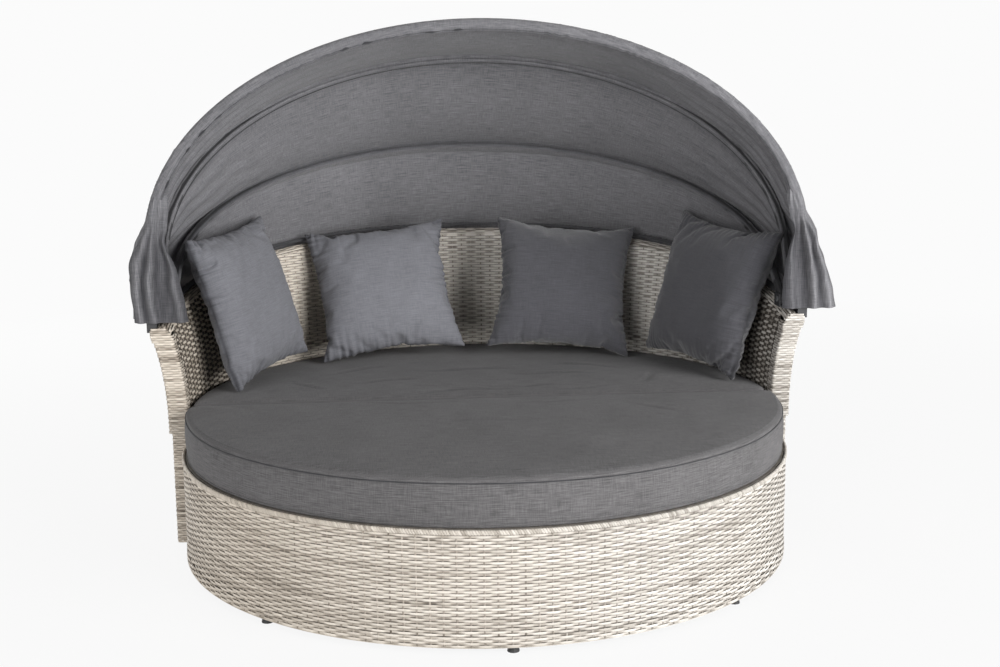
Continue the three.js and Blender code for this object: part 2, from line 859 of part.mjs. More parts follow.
// Finishes
const weave = { color: 0xb9b2a5, roughness: 0.7, metalness: 0 };
const braid = { color: 0xc7c1b4, roughness: 0.7, metalness: 0 };
const coatedSteel = { color: 0x2c2d30, roughness: 0.5, metalness: 0.6 };
const zinc = { color: 0x9a9c9f, roughness: 0.35, metalness: 0.9 };
const blackPlastic = { color: 0x141414, roughness: 0.6, metalness: 0 };
const whitePlastic = { color: 0xe8e8e4, roughness: 0.4, metalness: 0 };
const canopyCloth = { color: 0x6c6c70, roughness: 0.95, metalness: 0, side: THREE.DoubleSide };
const seatCloth = { color: 0x5e5e61, roughness: 0.95, metalness: 0 };
const greyCloth = { color: 0x6a6b72, roughness: 0.9, metalness: 0 };
const charcoalCloth = { color: 0x4a4a52, roughness: 0.9, metalness: 0 };

function addFootstool() {
  const skin = footstoolRadius - weaveThickness;
  const wall = splitGap + weaveThickness;
  const hemTopEdge = footHeight + gap + hemBraidHeight;
  const rimBottom = deckHeight - rimBraidHeight;
  const panelReach = Math.sqrt(footstoolRadius ** 2 - wall ** 2);
  const deckRadius = skin - 2 * gap;
  add("footstool_frame", footstoolFrame(), coatedSteel);
  add(
    "footstool_front_weave",
    halfBand(skin, footstoolRadius, hemTopEdge + gap, rimBottom - gap, wall + gap, -1),
    weave,
  );
  add(
    "footstool_back_weave",
    block(
      vector(-panelReach, -wall, footHeight + gap),
      vector(panelReach, -splitGap, deckHeight),
    ),
    weave,
  );
  const proud = footstoolRadius + braidProud;
  add("footstool_rim_braid", halfBand(skin, proud, rimBottom, deckHeight, wall + gap, -1), braid);
  add(
    "footstool_hem_braid",
    halfBand(skin, proud, footHeight + gap, hemTopEdge, wall + gap, -1),
    braid,
  );
  add(
    "footstool_deck",
    halfDisc(deckRadius, wall + gap, deckHeight - deckThickness, deckHeight, -1),
    weave,
  );
  add("footstool_cushion", cushion(footstoolCushionRadius, cushionFront, -1), seatCloth);
  addFeet("footstool_foot", footstoolRing, -1, blackPlastic);
}

function addBase() {
  const skin = baseRadius - weaveThickness;
  const wall = splitGap + weaveThickness;
  const back = splitGap + armDepth + gap;
  const hemTopEdge = footHeight + gap + hemBraidHeight;
  const middle = baseRadius - cornerWidth / 2;
  const inner = middle - cornerWidth / 2;
  add("base_frame", baseFrame(), coatedSteel);
  add(
    "base_rear_weave",
    halfBand(skin, baseRadius, hemTopEdge + gap, backSeatHeight, back, 1),
    weave,
  );
  const proud = baseRadius + braidProud;
  add("base_hem_braid", halfBand(skin, proud, footHeight + gap, hemTopEdge, back, 1), braid);
  const panelReach = Math.sqrt(inner ** 2 - splitGap ** 2) - gap - backStep / 2;
  add(
    "base_front_weave",
    block(
      vector(-panelReach, splitGap, footHeight + gap),
      vector(panelReach, wall, deckHeight),
    ),
    weave,
  );
  const bottom = footHeight + gap;
  const top = () => backSeatHeight;
  const corner = postWrap(cornerSection(), () => middle, bottom, top, 1);
  addPair("base_corner_wrap", corner, weave);
  const deckRadius = baseRing - tubeRadius - gap;
  add(
    "base_deck",
    halfDisc(deckRadius, wall + gap, deckHeight - deckThickness, deckHeight, 1),
    weave,
  );
  add("seat_cushion", cushion(seatRadius, cushionFront, 1), seatCloth);
  addFeet("base_foot", baseRing, 1, blackPlastic);
}

function addBack() {
  const bottom = backSeatHeight + gap;
  add("back_frame", backFrame(), coatedSteel);
  const outer = backSkin(halfBack, halfBack - weaveThickness, bottom, shellRows);
  const inner = backSkin(weaveThickness - halfBack, -halfBack, deckHeight + gap, innerShellRows);
  add("back_outer_weave", outer, weave);
  add("back_inner_weave", inner, weave);
  add("back_rail_wrap", cut(railWrap(), screwHole(1), screwHole(-1)), weave);
  const wrapTop = (across) => armHeight + railEdge(across) - gap;
  const lean = (z) => backMiddleRadius + flare(z, armHeight);
  const arm = postWrap(armSection(), lean, bottom, wrapTop, shellRows);
  addPair("arm_wrap", arm, weave);
}

// Each pillow's name, bearing, shift towards the back, yaw, lean back, roll and cloth
const pillowPlaces = [
  ["pillow_far_left", 155.2, farLeftToWall, 66, 17, 4, greyCloth],
  ["pillow_left", 114.2, leftToWall, 4, 30, 6, greyCloth],
  ["pillow_right", 63, rightToWall, -2, 31, -6, charcoalCloth],
  ["pillow_far_right", 21.9, farRightToWall, -64, 17, -4, charcoalCloth],
];

function addPillows() {
  const cushionMesh = daybed.getObjectByName("seat_cushion");
  const half = pillowSize / 2;
  for (const [name, bearing, toWall, yaw, lean, roll, finish] of pillowPlaces) {
    const mesh = add(name, pillow(), finish);
    const reach = Math.sqrt(seatRadius ** 2 - half ** 2) - half * Math.sin(radians(lean)) + toWall;
    const angle = radians(bearing);
    const height = deckHeight + cushionThickness + pillowSize;
    mesh.rotation.set(radians(-lean), radians(-roll), radians(yaw), "ZXY");
    mesh.position.set(reach * Math.cos(angle), reach * Math.sin(angle), height);
    restOn(cushionMesh, mesh);
  }
}

function addCanopy() {
  add("hoop_front", hoop(frontHoop), coatedSteel);
  add("hoop_middle", hoop(middleHoop), coatedSteel);
  add("hoop_rear", hoop(rearHoop), coatedSteel);
  add("canopy_front_panel", frontPanel(), canopyCloth);
  add("canopy_middle_panel", middlePanel(), canopyCloth);
  add("canopy_rear_panel", rearPanel(), canopyCloth);
  addPair("pivot_bracket", pivotBracket(), coatedSteel);
  addPair("bracket_screw", bracketScrew(), zinc);
  addPair("pivot_bolt", pivotBolt(), zinc);
  addPair("pivot_nut", pivotNut(), zinc);
  addPair("front_hoop_washer", hoopWasher(1), whitePlastic);
  addPair("rear_hoop_washer", hoopWasher(2), whitePlastic);
}

addFootstool();
addBase();
addBack();
addPillows();
addCanopy();

const box = new THREE.Box3().setFromObject(daybed);
daybed.position.y = -(box.min.y + box.max.y) / 2;

export default daybed;
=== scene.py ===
import math

import bmesh
import bpy
import numpy as np
from mathutils import Matrix, Vector


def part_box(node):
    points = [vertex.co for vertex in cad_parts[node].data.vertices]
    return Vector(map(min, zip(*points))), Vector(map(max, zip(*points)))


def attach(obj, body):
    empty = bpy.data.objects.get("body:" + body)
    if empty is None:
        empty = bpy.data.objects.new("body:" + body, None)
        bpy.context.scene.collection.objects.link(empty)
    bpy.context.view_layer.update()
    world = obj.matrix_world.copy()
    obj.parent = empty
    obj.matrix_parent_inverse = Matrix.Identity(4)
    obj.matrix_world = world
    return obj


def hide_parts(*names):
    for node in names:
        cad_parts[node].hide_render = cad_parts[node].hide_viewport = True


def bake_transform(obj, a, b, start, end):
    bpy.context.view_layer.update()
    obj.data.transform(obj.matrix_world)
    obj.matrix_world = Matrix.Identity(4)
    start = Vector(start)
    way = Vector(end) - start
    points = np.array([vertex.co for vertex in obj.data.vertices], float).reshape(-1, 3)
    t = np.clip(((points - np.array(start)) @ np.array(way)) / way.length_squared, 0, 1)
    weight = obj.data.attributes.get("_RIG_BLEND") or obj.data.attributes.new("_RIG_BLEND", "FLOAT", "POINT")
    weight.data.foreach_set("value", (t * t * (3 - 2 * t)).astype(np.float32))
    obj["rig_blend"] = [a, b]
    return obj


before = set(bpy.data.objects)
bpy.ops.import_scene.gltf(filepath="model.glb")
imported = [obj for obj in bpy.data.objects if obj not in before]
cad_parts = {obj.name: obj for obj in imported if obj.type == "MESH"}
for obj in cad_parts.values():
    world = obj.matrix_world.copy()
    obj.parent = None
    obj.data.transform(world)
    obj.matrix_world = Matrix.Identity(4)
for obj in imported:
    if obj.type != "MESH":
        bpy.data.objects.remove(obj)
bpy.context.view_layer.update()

# Sizes of the daybed, in millimetres, in the plan whose split between the two halves is y = 0
SHIFT = -46.35
SPLIT_GAP = 4.0
WEAVE = 6.0
GAP = 0.3
FOOT_HEIGHT = 14.0
DECK_HEIGHT = 283.0
SEAT_BACK_HEIGHT = 316.0
ARM_HEIGHT = 609.0
BACK_RISE = 166.0
RAIL_POWER = 2.23
BACK_FLARE = 45.0
FLARE_POWER = 2.5
BACK_MIDDLE = 815.5
HALF_BACK = 27.5
HALF_RAIL = 30.0
RAIL_RISE = 26.0
RAIL_SIDE_DROP = 22.0
RAIL_WIDTH = 60.0
ARM_DEPTH = 40.0
FOOTSTOOL_RADIUS = 800.0
BASE_RADIUS = 835.0
CORNER_WIDTH = 40.0
HEM_BRAID = 26.0
RIM_BRAID = 12.0
BRAID_PROUD = 2.0
CUSHION_THICKNESS = 112.0
CUSHION_CROWN = 10.0
CROWN_REACH = 55.0
CUSHION_FRONT = 6.0
CUSHION_CORNER = 30.0
SEAT_RADIUS = 781.0
FOOTSTOOL_CUSHION = 790.0
PIVOT = (0.0, 30.0, 640.0)
HOOP_HALF_WIDTH = 872.0
HOOP_PITCH = 24.6
HOOP_LEG = 165.0
HOOP_RISE = 575.0
HOOP_STEPS = 28
HOOP_RADIUS = 10.0
CLOTH_LIFT = 10.0 / math.cos(math.radians(28)) + 0.3
CLOTH_COLUMNS = 30
SKIRT_COLUMNS = 3
SKIRT_STEPS = 2
SKIRT_RADIUS = HOOP_HALF_WIDTH + CLOTH_LIFT + 55.0
SKIRT_CURVE = 1.4
SKIRT_BOTTOM = 618.0
HEM_RADIUS = 892.7
HEM_TOP = 12.0
HEM_DROP = 35.0
HEM_SPREAD = 45.0
PLEAT = 14.0
SAG = 0.05
TILTS = {"front": 90.0, "middle": 62.5, "rear": 33.0}
HEM_SPLIT = 0.84
HEM_TOP_EDGE = FOOT_HEIGHT + GAP + HEM_BRAID
RIM_BOTTOM = DECK_HEIGHT - RIM_BRAID
WALL = SPLIT_GAP + WEAVE
ARM_BACK = SPLIT_GAP + ARM_DEPTH
BASE_FRONT_REACH = 789.0
# How far the rail's end stays behind the split, and the rail's outer radius there
RAIL_END = 3.4
RAIL_END_RADIUS = 860.5
# The arm's front is as wide as the back up to a height below the arm's top, then follows the rail
ARM_SHOULDER = 48.0
ARM_STRAIGHT = 12.0
ARM_CURVE = 34.0
SIDES = ((1, "right"), (-1, "left"))

# The weave: distances between rows and between uprights, and the strands' own sizes
PITCH = 6.5
BACK_PITCH = 7.6
STAKE = 30.0
CORNER_STAKE = 18.0
STRAND_THICK = 0.7
HALF_STRAND = 0.9
BACKING_THICK = 0.6
# Where along its way from one upright to the next a strand gets points
BENDS = np.array([-0.32, -0.15, -0.05, 0.05, 0.15, 0.32])
# A strand's section in half-thicknesses and half-widths
STRAND_RIM = [(0, 1), (1, 0.72), (1, -0.72), (0, -1), (-1, -0.72), (-1, 0.72)]
# Tones of new strands, each for picks below its share
STRAND_TONES = ((0.5, 0.82), (0.78, 0.66), (0.95, 0.5), (1.0, 0.36))

# The canopy's cloth
CLOTH_THICK = 1.4
CURTAIN_THICK = POCKET_THICK = 1.2
SEAM_TURN = 232.0
# The seam cord's radius at places across: thickest on the left, where the dark cord also stands in for the
# shadow in the fold (painted shadow)
SEAM_RADII = (-820, -250, 300, 860), (4.8, 2.5, 1.8, 2.5)
NEAR_UP = (0.01, 0.02, 1.0)

# Looks
STRAND_COLOURS = [(0.0, (0.07, 0.06, 0.05)), (0.3, (0.2, 0.178, 0.152)), (0.6, (0.42, 0.388, 0.348)),
                  (1.0, (0.67, 0.642, 0.6))]
# Painted light: the warm tint of the strands towards the left side
PAINTED_LEFT_LIGHT_TINT = (1.0, 0.94, 0.865)
# The grey that painted shade darkens cloth towards at its fullest
FULL_PAINTED_SHADE = (0.3, 0.3, 0.315)
THREADS = 1500.0
SHEEN_ROUGHNESS = 0.6
FLOOR_COLOUR = (0.9, 0.9, 0.9)
BACKDROP_COLOUR = (0.965, 0.965, 0.965)
AMBIENT = 0.18
# Each light's name, place, target, size and power
LIGHTS = (
    ("key_softbox", (4.0, -4.1, 1.7), (0, -0.2, 0.5), 3.8, 490),
    ("fill_softbox", (-3.4, -4.4, 1.7), (0, 0, 0.6), 3.8, 175),
    ("rear_softbox", (-2.2, 4.6, 1.6), (0, 0.4, 0.6), 2.6, 130),
)
CAMERA_PLACE = (-0.2668, -3.6919, 1.226)
CAMERA_TURN = (4.86, 10.21, -0.53)


def to_row(points):
    """Plan points in millimetres as metres in the row frame."""
    return (np.asarray(points, float) + [0, SHIFT, 0]) / 1000


# ---------------------------------------------------------------- materials


class Nodes:
    """The node tree of a material or a world, and short calls to add nodes to it."""

    def __init__(self, owner):
        owner.use_nodes = True
        self.owner = owner
        self.tree = owner.node_tree
        self.tree.nodes.clear()

    def put(self, socket, value):
        """Links a node or socket to a socket, or sets a number, a vector or a colour."""
        if isinstance(value, bpy.types.Node):
            value = value.outputs[0]
        if isinstance(value, bpy.types.NodeSocket):
            self.tree.links.new(value, socket)
        elif socket.type == "RGBA":
            socket.default_value = (*value, 1)
        else:
            socket.default_value = value

    def add(self, kind, *sources, **values):
        """A node with its properties set and its first sockets fed in their order."""
        node = self.tree.nodes.new(kind)
        for key, value in values.items():
            setattr(node, key, value)
        for socket, value in zip(node.inputs, sources):
            self.put(socket, value)
        return node

    def feed(self, node, **sources):
        """Feeds sockets by their names, with _ for a space."""
        for key, value in sources.items():
            self.put(node.inputs[key.replace("_", " ")], value)
        return node

    def place(self, attribute=None):
        if attribute:
            return self.add("ShaderNodeAttribute", attribute_name=attribute).outputs["Vector"]
        return self.add("ShaderNodeTexCoord").outputs["Object"]

    def axis(self, name):
        return self.add("ShaderNodeSeparateXYZ", self.place()).outputs[name]

    def value(self, attribute):
        return self.add("ShaderNodeAttribute", attribute_name=attribute).outputs["Fac"]

    def stretch(self, vector, scale):
        return self.feed(self.add("ShaderNodeMapping"), Vector=vector, Scale=scale).outputs["Vector"]

    def noise(self, vector, scale, detail=3.0, rough=0.55):
        node = self.add("ShaderNodeTexNoise")
        return self.feed(node, Vector=vector, Scale=scale, Detail=detail, Roughness=rough).outputs["Fac"]

    def wave(self, vector, scale, direction):
        node = self.add("ShaderNodeTexWave", bands_direction=direction)
        return self.feed(node, Vector=vector, Scale=scale).outputs["Fac"]

    def math(self, operation, a, b=0.0, clamp=False):
        return self.add("ShaderNodeMath", a, b, operation=operation, use_clamp=clamp).outputs[0]

    def swing(self, value, middle, size):
        """A value's distance from its middle, times a size."""
        return self.math("MULTIPLY", self.math("SUBTRACT", value, middle), size)

    def ramp(self, factor, stops):
        node = self.add("ShaderNodeValToRGB", factor)
        elements = node.color_ramp.elements
        while len(elements) < len(stops):
            elements.new(0.5)
        for element, (position, colour) in zip(elements, stops):
            element.position = position
            element.color = (*colour, 1)
        return node.outputs["Color"]

    def mix(self, factor, a, b, blend="MIX"):
        node = self.add("ShaderNodeMix", data_type="RGBA", blend_type=blend)
        for number, value in ((0, factor), (6, a), (7, b)):
            self.put(node.inputs[number], value)
        return node.outputs[2]

    def bump(self, height, strength, distance, normal=None):
        node = self.add("ShaderNodeBump")
        self.feed(node, Height=height, Strength=strength, Distance=distance)
        if normal is not None:
            self.put(node.inputs["Normal"], normal)
        return node.outputs["Normal"]

    def finish(self, **sources):
        """Feeds the shader's sockets; gives the material."""
        self.feed(self.shader, **sources)
        return self.owner


def principled(name, roughness, metallic=0.0, sheen=0.0, specular=0.5):
    """The nodes of a new material with one Principled shader."""
    m = Nodes(bpy.data.materials.new(name))
    m.shader = m.add("ShaderNodeBsdfPrincipled")
    m.feed(m.shader, Roughness=roughness, Metallic=metallic, Sheen_Weight=sheen,
           Sheen_Roughness=SHEEN_ROUGHNESS, Specular_IOR_Level=specular)
    m.add("ShaderNodeOutputMaterial", m.shader)
    return m


def strand_material():
    """Flat plastic strands: off-white, grey and taupe, streaked along their length, with painted light
    towards the left side.
    """
    m = principled("woven_strand", 0.5)
    grain = m.place("grain")
    streak = m.noise(m.stretch(grain, (18, 700, 1)), 1.0, 4.0)
    patch = m.noise(m.stretch(grain, (2.2, 90, 1)), 1.0, 1.0)
    # The tone attribute carries each strand's own tone plus the painted light and shade added while weaving
    tone = m.math("ADD", m.value("tone"), m.swing(streak, 0.5, 0.7))
    tone = m.math("ADD", tone, m.swing(patch, 0.5, 0.6))
    # Painted light: towards the left side the strands are lighter and warmer
    left = m.math("ADD", m.math("MULTIPLY", m.axis("X"), -1.1), 0.35, clamp=True)
    tone = m.math("ADD", tone, m.math("MULTIPLY", left, 0.1), clamp=True)
    colour = m.ramp(tone, STRAND_COLOURS)
    rough = m.math("ADD", m.math("MULTIPLY", streak, 0.25), 0.38)
    colour = m.mix(left, colour, m.mix(1.0, colour, PAINTED_LEFT_LIGHT_TINT, "MULTIPLY"))
    return m.finish(Base_Color=colour, Roughness=rough, Normal=m.bump(streak, 0.35, 0.0006))


def backing_material(name):
    """A dark mottled matte: painted shade for the sheets behind the weave, and also the deck's weave."""
    m = principled(name, 0.9)
    mottle = m.noise(m.place(), 60.0)
    colour = m.ramp(mottle, [(0.3, (0.1, 0.09, 0.078)), (0.7, (0.2, 0.18, 0.155))])
    return m.finish(Base_Color=colour, Normal=m.bump(mottle, 0.4, 0.002))


def cloth_material(name, dark, light, sheen=0.12, specular=0.25):
    """Woven canvas: heathered yarns both ways, a plain weave in the bump, and faint soiling. A per-point
    attribute adds painted shade, darkening the colour towards a grey.
    """
    m = principled(name, 0.92, sheen=sheen, specular=specular)
    place = m.place("cloth")
    weft = m.noise(m.stretch(place, (20, 430, 30)), 1.0, 4.0, 0.7)
    warp = m.noise(m.stretch(place, (430, 26, 30)), 1.0, 4.0, 0.7)
    cloud = m.noise(place, 5.0, 4.0)
    mixed = m.math("ADD", m.math("MULTIPLY", weft, 0.6), m.math("MULTIPLY", warp, 0.32))
    mixed = m.math("ADD", mixed, m.math("MULTIPLY", cloud, 0.12))
    colour = m.ramp(mixed, [(0.42, dark), (0.62, light)])
    # Painted shade, from the per-point attribute
    colour = m.mix(m.value("painted_shade"), colour, m.mix(1.0, colour, FULL_PAINTED_SHADE, "MULTIPLY"))
    threads = m.math("MULTIPLY", m.wave(place, THREADS, "X"), m.wave(place, THREADS, "Y"))
    rough = m.math("ADD", m.math("MULTIPLY", cloud, 0.12), 0.84)
    fine = m.bump(threads, 0.25, 0.0006)
    return m.finish(Base_Color=colour, Roughness=rough, Normal=m.bump(mixed, 0.3, 0.0012, fine))


def metal_material(name, dark, light, roughness, metallic, scale):
    """Coated or bare metal, and moulded plastic: fine grain and worn patches."""
    m = principled(name, roughness, metallic)
    place = m.place()
    grain = m.noise(place, scale, 4.0)
    worn = m.noise(place, 25.0, 5.0)
    colour = m.mix(m.math("MULTIPLY", worn, 0.6), dark, light)
    rough = m.math("ADD", m.math("MULTIPLY", grain, 0.2), roughness - 0.1)
    return m.finish(Base_Color=colour, Roughness=rough, Normal=m.bump(grain, 0.25, 0.0004))


STRAND = strand_material()
# Painted shade: the dark matte of the sheets behind the weaves
PAINTED_SHADE_BACKING = backing_material("weave_painted_shade")
CANOPY = cloth_material("canopy_canvas", (0.096, 0.096, 0.103), (0.232, 0.228, 0.24), sheen=0.15)
SEAT = cloth_material("seat_canvas", (0.063, 0.061, 0.062), (0.146, 0.141, 0.144), sheen=0.11, specular=0.12)
HEM = cloth_material("hem_tape", (0.025, 0.025, 0.028), (0.06, 0.06, 0.066))
# Dark thread for the seam cords, which also stand in for shadows along the seams (painted shadow)
SEAM_THREAD_AND_SHADOW = cloth_material("seam_thread_and_painted_shadow", (0.02, 0.02, 0.022), (0.045, 0.045, 0.05))
GREY = cloth_material("grey_pillow_canvas", (0.125, 0.126, 0.139), (0.188, 0.19, 0.209))
CHARCOAL = cloth_material("charcoal_pillow_canvas", (0.041, 0.041, 0.048), (0.074, 0.073, 0.084), sheen=0.35)
COATED = metal_material("powder_coat", (0.03, 0.03, 0.032), (0.07, 0.07, 0.072), 0.5, 0.2, 1800.0)
ZINC = metal_material("zinc", (0.5, 0.51, 0.52), (0.62, 0.62, 0.62), 0.35, 1.0, 900.0)
BLACK = metal_material("black_plastic", (0.015, 0.015, 0.015), (0.035, 0.035, 0.035), 0.6, 0.0, 1200.0)
WHITE = metal_material("white_plastic", (0.72, 0.71, 0.68), (0.8, 0.8, 0.78), 0.45, 0.0, 900.0)
DECK = backing_material("deck_weave")


# ---------------------------------------------------------------- meshes


def new_object(name, points, faces, material, body, slot, attributes):
    """A mesh piece from points in the plan (mm) and quads, riding on a body if one is named."""
    mesh = bpy.data.meshes.new(name)
    points = to_row(points).astype(np.float32)
    faces = np.asarray(faces, np.int32)
    mesh.vertices.add(len(points))
    mesh.vertices.foreach_set("co", points.ravel())
    mesh.loops.add(faces.size)
    mesh.loops.foreach_set("vertex_index", faces.ravel())
    mesh.polygons.add(len(faces))
    mesh.polygons.foreach_set("loop_start", np.arange(0, faces.size, faces.shape[1], dtype=np.int32))
    mesh.update(calc_edges=True)
    mesh.validate()
    for key, values in attributes.items():
        values = np.asarray(values, np.float32)
        kind, field = ("FLOAT_VECTOR", "vector") if values.ndim == 2 else ("FLOAT", "value")
        layer = mesh.attributes.new(key, kind, "POINT")
        layer.data.foreach_set(field, values.ravel())
    mesh.polygons.foreach_set("use_smooth", [True] * len(mesh.polygons))
    mesh.materials.append(material)
    piece = link(name, mesh)
    if body:
        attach(piece, body)
    return piece


def grid_faces(rings, count, closed_rings=False):
    """Quads between closed rings of count points; closed_rings joins the last ring to the first."""
    i = np.arange(rings if closed_rings else rings - 1)[:, None]
    k = np.arange(count)[None, :]
    j = (i + 1) % rings
    ahead = (k + 1) % count
    return np.stack([i * count + k, i * count + ahead, j * count + ahead, j * count + k], -1).reshape(-1, 4)


def mend(mesh, weld=False):
    """Turns the faces of each closed part outwards; weld first joins doubled points and fills holes."""
    bm = bmesh.new()
    bm.from_mesh(mesh)
    if weld:
        bmesh.ops.remove_doubles(bm, verts=bm.verts, dist=1e-4)
        open_edges = [edge for edge in bm.edges if edge.is_boundary]
        if open_edges:
            patches = bmesh.ops.holes_fill(bm, edges=open_edges, sides=0)
            bmesh.ops.triangulate(bm, faces=patches["faces"])
    bmesh.ops.recalc_face_normals(bm, faces=bm.faces)
    bm.to_mesh(mesh)
    bm.free()


def closed_sheet(name, section, material, body, slot, cloth=None, painted_shade=None):
    """A closed thin piece from columns of points that go along one side and back along the other."""
    columns, count = section.shape[:2]
    caps = []
    for begin in (0, (columns - 1) * count):
        for k in range(count // 2 - 1):
            caps.append([begin + k, begin + k + 1, begin + count - 2 - k, begin + count - 1 - k])
    attributes = {}
    if cloth is not None:
        attributes["cloth"] = cloth.reshape(-1, 3)
    if painted_shade is not None:
        attributes["painted_shade"] = np.broadcast_to(painted_shade, (columns, count)).reshape(-1)
    faces = np.concatenate([grid_faces(columns, count), caps])
    piece = new_object(name, section.reshape(-1, 3), faces, material, body, slot, attributes)
    mend(piece.data)
    return piece


def tube(name, line, radius, material, body, slot, sides=6, closed=False):
    """A cord along a line of points, with one radius or one for each point."""
    ahead = unit(np.roll(line, -1, 0) - np.roll(line, 1, 0) if closed else np.gradient(line, axis=0))
    side = unit(np.cross(ahead, (0, 0, 1.0) if closed else NEAR_UP))
    lift = np.cross(side, ahead)
    angles = np.linspace(0, math.tau, sides, endpoint=False)[None, :]
    radius = np.broadcast_to(radius, len(line))[:, None]
    turned = np.cos(angles)[..., None] * side[:, None] + np.sin(angles)[..., None] * lift[:, None]
    ring = line[:, None] + radius[..., None] * turned
    faces = grid_faces(len(line), sides, closed)
    if not closed:
        caps = [[0, 1, 2, 3], [0, 3, 4, 5]]
        caps += [[(len(line) - 1) * sides + k for k in cap[::-1]] for cap in caps]
        faces = np.concatenate([faces, caps])
    cloth = np.zeros(ring.shape)
    cloth[..., 0] = run_lengths(line)[:, None] / 1000
    cloth[..., 1] = angles * radius / 1000
    points = ring.reshape(-1, 3)
    piece = new_object(name, points, faces, material, body, slot, {"cloth": cloth.reshape(-1, 3)})
    mend(piece.data)
    return piece


def strip_cloth(section, lengths, pitch):
    """Cloth places of a strip: along its length, and across in equal steps there and back."""
    across = np.arange(section.shape[1] // 2)
    cloth = np.zeros(section.shape)
    cloth[..., 0] = lengths[:, None] / 1000
    cloth[..., 1] = np.concatenate([across, across[::-1]]) * pitch
    return cloth


def unit(vectors):
    return vectors / np.linalg.norm(vectors, axis=-1, keepdims=True)


def run_lengths(line):
    """The length along a line at each of its points."""
    return np.concatenate([[0], np.cumsum(np.linalg.norm(np.diff(line, axis=0), axis=1))])


def along_line(line, lengths, spots):
    """Points of a line at some lengths along it."""
    return np.stack([np.interp(spots, lengths, line[:, k]) for k in range(line.shape[1])], -1)


def bend(x, y, radius, turns):
    """Points on an arc."""
    return [(x + radius * math.cos(turn), y + radius * math.sin(turn)) for turn in turns]


def soft_noise(x, y, seed, scale):
    """Smooth repeatable unevenness from a few sine waves, about -1 to 1."""
    random = np.random.default_rng(seed)
    total = 0
    for _ in range(7):
        angle = random.random() * math.tau
        length = scale * (0.6 + random.random())
        phase = random.random() * math.tau
        total = total + np.sin((x * math.cos(angle) + y * math.sin(angle)) / length * math.tau + phase)
    return total / 3.2


def ring_noise(loop, seed, waves):
    """Unevenness that closes on itself round a loop, about -1 to 1."""
    random = np.random.default_rng(seed)
    total = 0
    for _ in range(5):
        turns = max(int(round(waves * (0.6 + 0.8 * random.random()))), 1)
        total = total + np.sin(loop * turns * math.tau + random.random() * math.tau)
    return total / 2.6


def ripple(lengths, seed, period):
    """Uneven gathers along a seam: waves of about one period whose size comes and goes."""
    random = np.random.default_rng(seed * 13 + 5)
    total = 0
    for _ in range(5):
        own = period * (0.7 + 0.6 * random.random())
        total = total + np.sin(lengths / own * math.tau + random.random() * math.tau) * random.uniform(0.5, 1)
    swell = 0.6 + 0.4 * np.sin(lengths / (period * 5.3) + seed)
    return total / 2.2 * swell


# ---------------------------------------------------------------- weaving


class Strands:
    """Many flat strands gathered into one mesh, with a tone and a grain place for each point."""

    def __init__(self, seed):
        self.points, self.faces, self.tints, self.grains = [], [], [], []
        self.count = 0
        self.random = np.random.default_rng(seed)

    def tone(self, low=0.0, high=1.0):
        """The tone of a new strand: mostly light, with grey and taupe ones between."""
        pick = self.random.random()
        base = next(tone for share, tone in STRAND_TONES if pick < share)
        return float(np.clip(base + self.random.normal(0, 0.05), low, high))

    def tones(self, along, stake, tone):
        """Tones along a row: new strand pieces start here and there, and each has its own tone."""
        count = int((along[-1] - along[0]) / (stake * 6)) + 2
        pieces = np.array([self.tone() for _ in range(count)])
        ends = np.sort(self.random.random(count - 1)) * (along[-1] - along[0]) + along[0]
        return 0.35 * tone + 0.65 * pieces[np.searchsorted(ends, along)]

    def add(self, path, out, up, half_width, half_thick, tone, along=None, loop=False):
        """One strand along path: out is its outward side and up its width, per point or for all."""
        path = np.asarray(path, float)
        out = np.broadcast_to(out, path.shape)
        up = np.broadcast_to(up, path.shape)
        sides, n = len(STRAND_RIM), len(path)
        ring = np.stack([path + out * half_thick * a + up * half_width * b for a, b in STRAND_RIM], 1)
        faces = grid_faces(n, sides, loop)
        if not loop:
            end = (n - 1) * sides
            caps = [[3, 2, 1, 0], [5, 4, 3, 0]]
            caps += [[end + k for k in corners] for corners in ([0, 1, 2, 3], [0, 3, 4, 5])]
            faces = np.concatenate([faces, caps])
        if along is None:
            along = run_lengths(path)
        start = self.random.random(2) * 50
        grain = np.zeros((n, sides, 3))
        grain[:, :, 0] = along[:, None] / 1000 + start[0]
        grain[:, :, 1] = start[1] + np.array([b for _, b in STRAND_RIM]) * half_width / 1000
        self.points.append(ring.reshape(-1, 3))
        self.faces.append(faces + self.count)
        self.tints.append(np.repeat(np.broadcast_to(tone, n), sides))
        self.grains.append(grain.reshape(-1, 3))
        self.count += n * sides

    def over_under(self, path, side, z):
        """A level strand along path that passes over one upright and under the next."""
        steps = run_lengths(path)
        along = np.linspace(0, steps[-1], max(int(steps[-1] / 2.5), 4))
        path = along_line(path, steps, along)
        outward = unit(np.cross(np.gradient(path, axis=0), (0, 0, side)))
        wave = np.tanh(2 * np.cos(math.pi * along / CORNER_STAKE + math.pi * round(z / PITCH)))
        # Painted shade: the strand is darker where it passes under an upright
        self.add(path + outward * (wave - 1)[:, None] * 0.6, outward, (0, 0, 1), 3.15, 0.6,
                 self.tone() + 0.1 * (wave - 1.2))

    def make(self, name, body, node, slot="weave"):
        """The gathered strands as one piece that stands in for a CAD node."""
        attributes = {"tone": np.concatenate(self.tints), "grain": np.concatenate(self.grains)}
        piece = new_object(name, np.concatenate(self.points), np.concatenate(self.faces), STRAND, body, slot,
                           attributes)
        mend(piece.data)
        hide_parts(node)


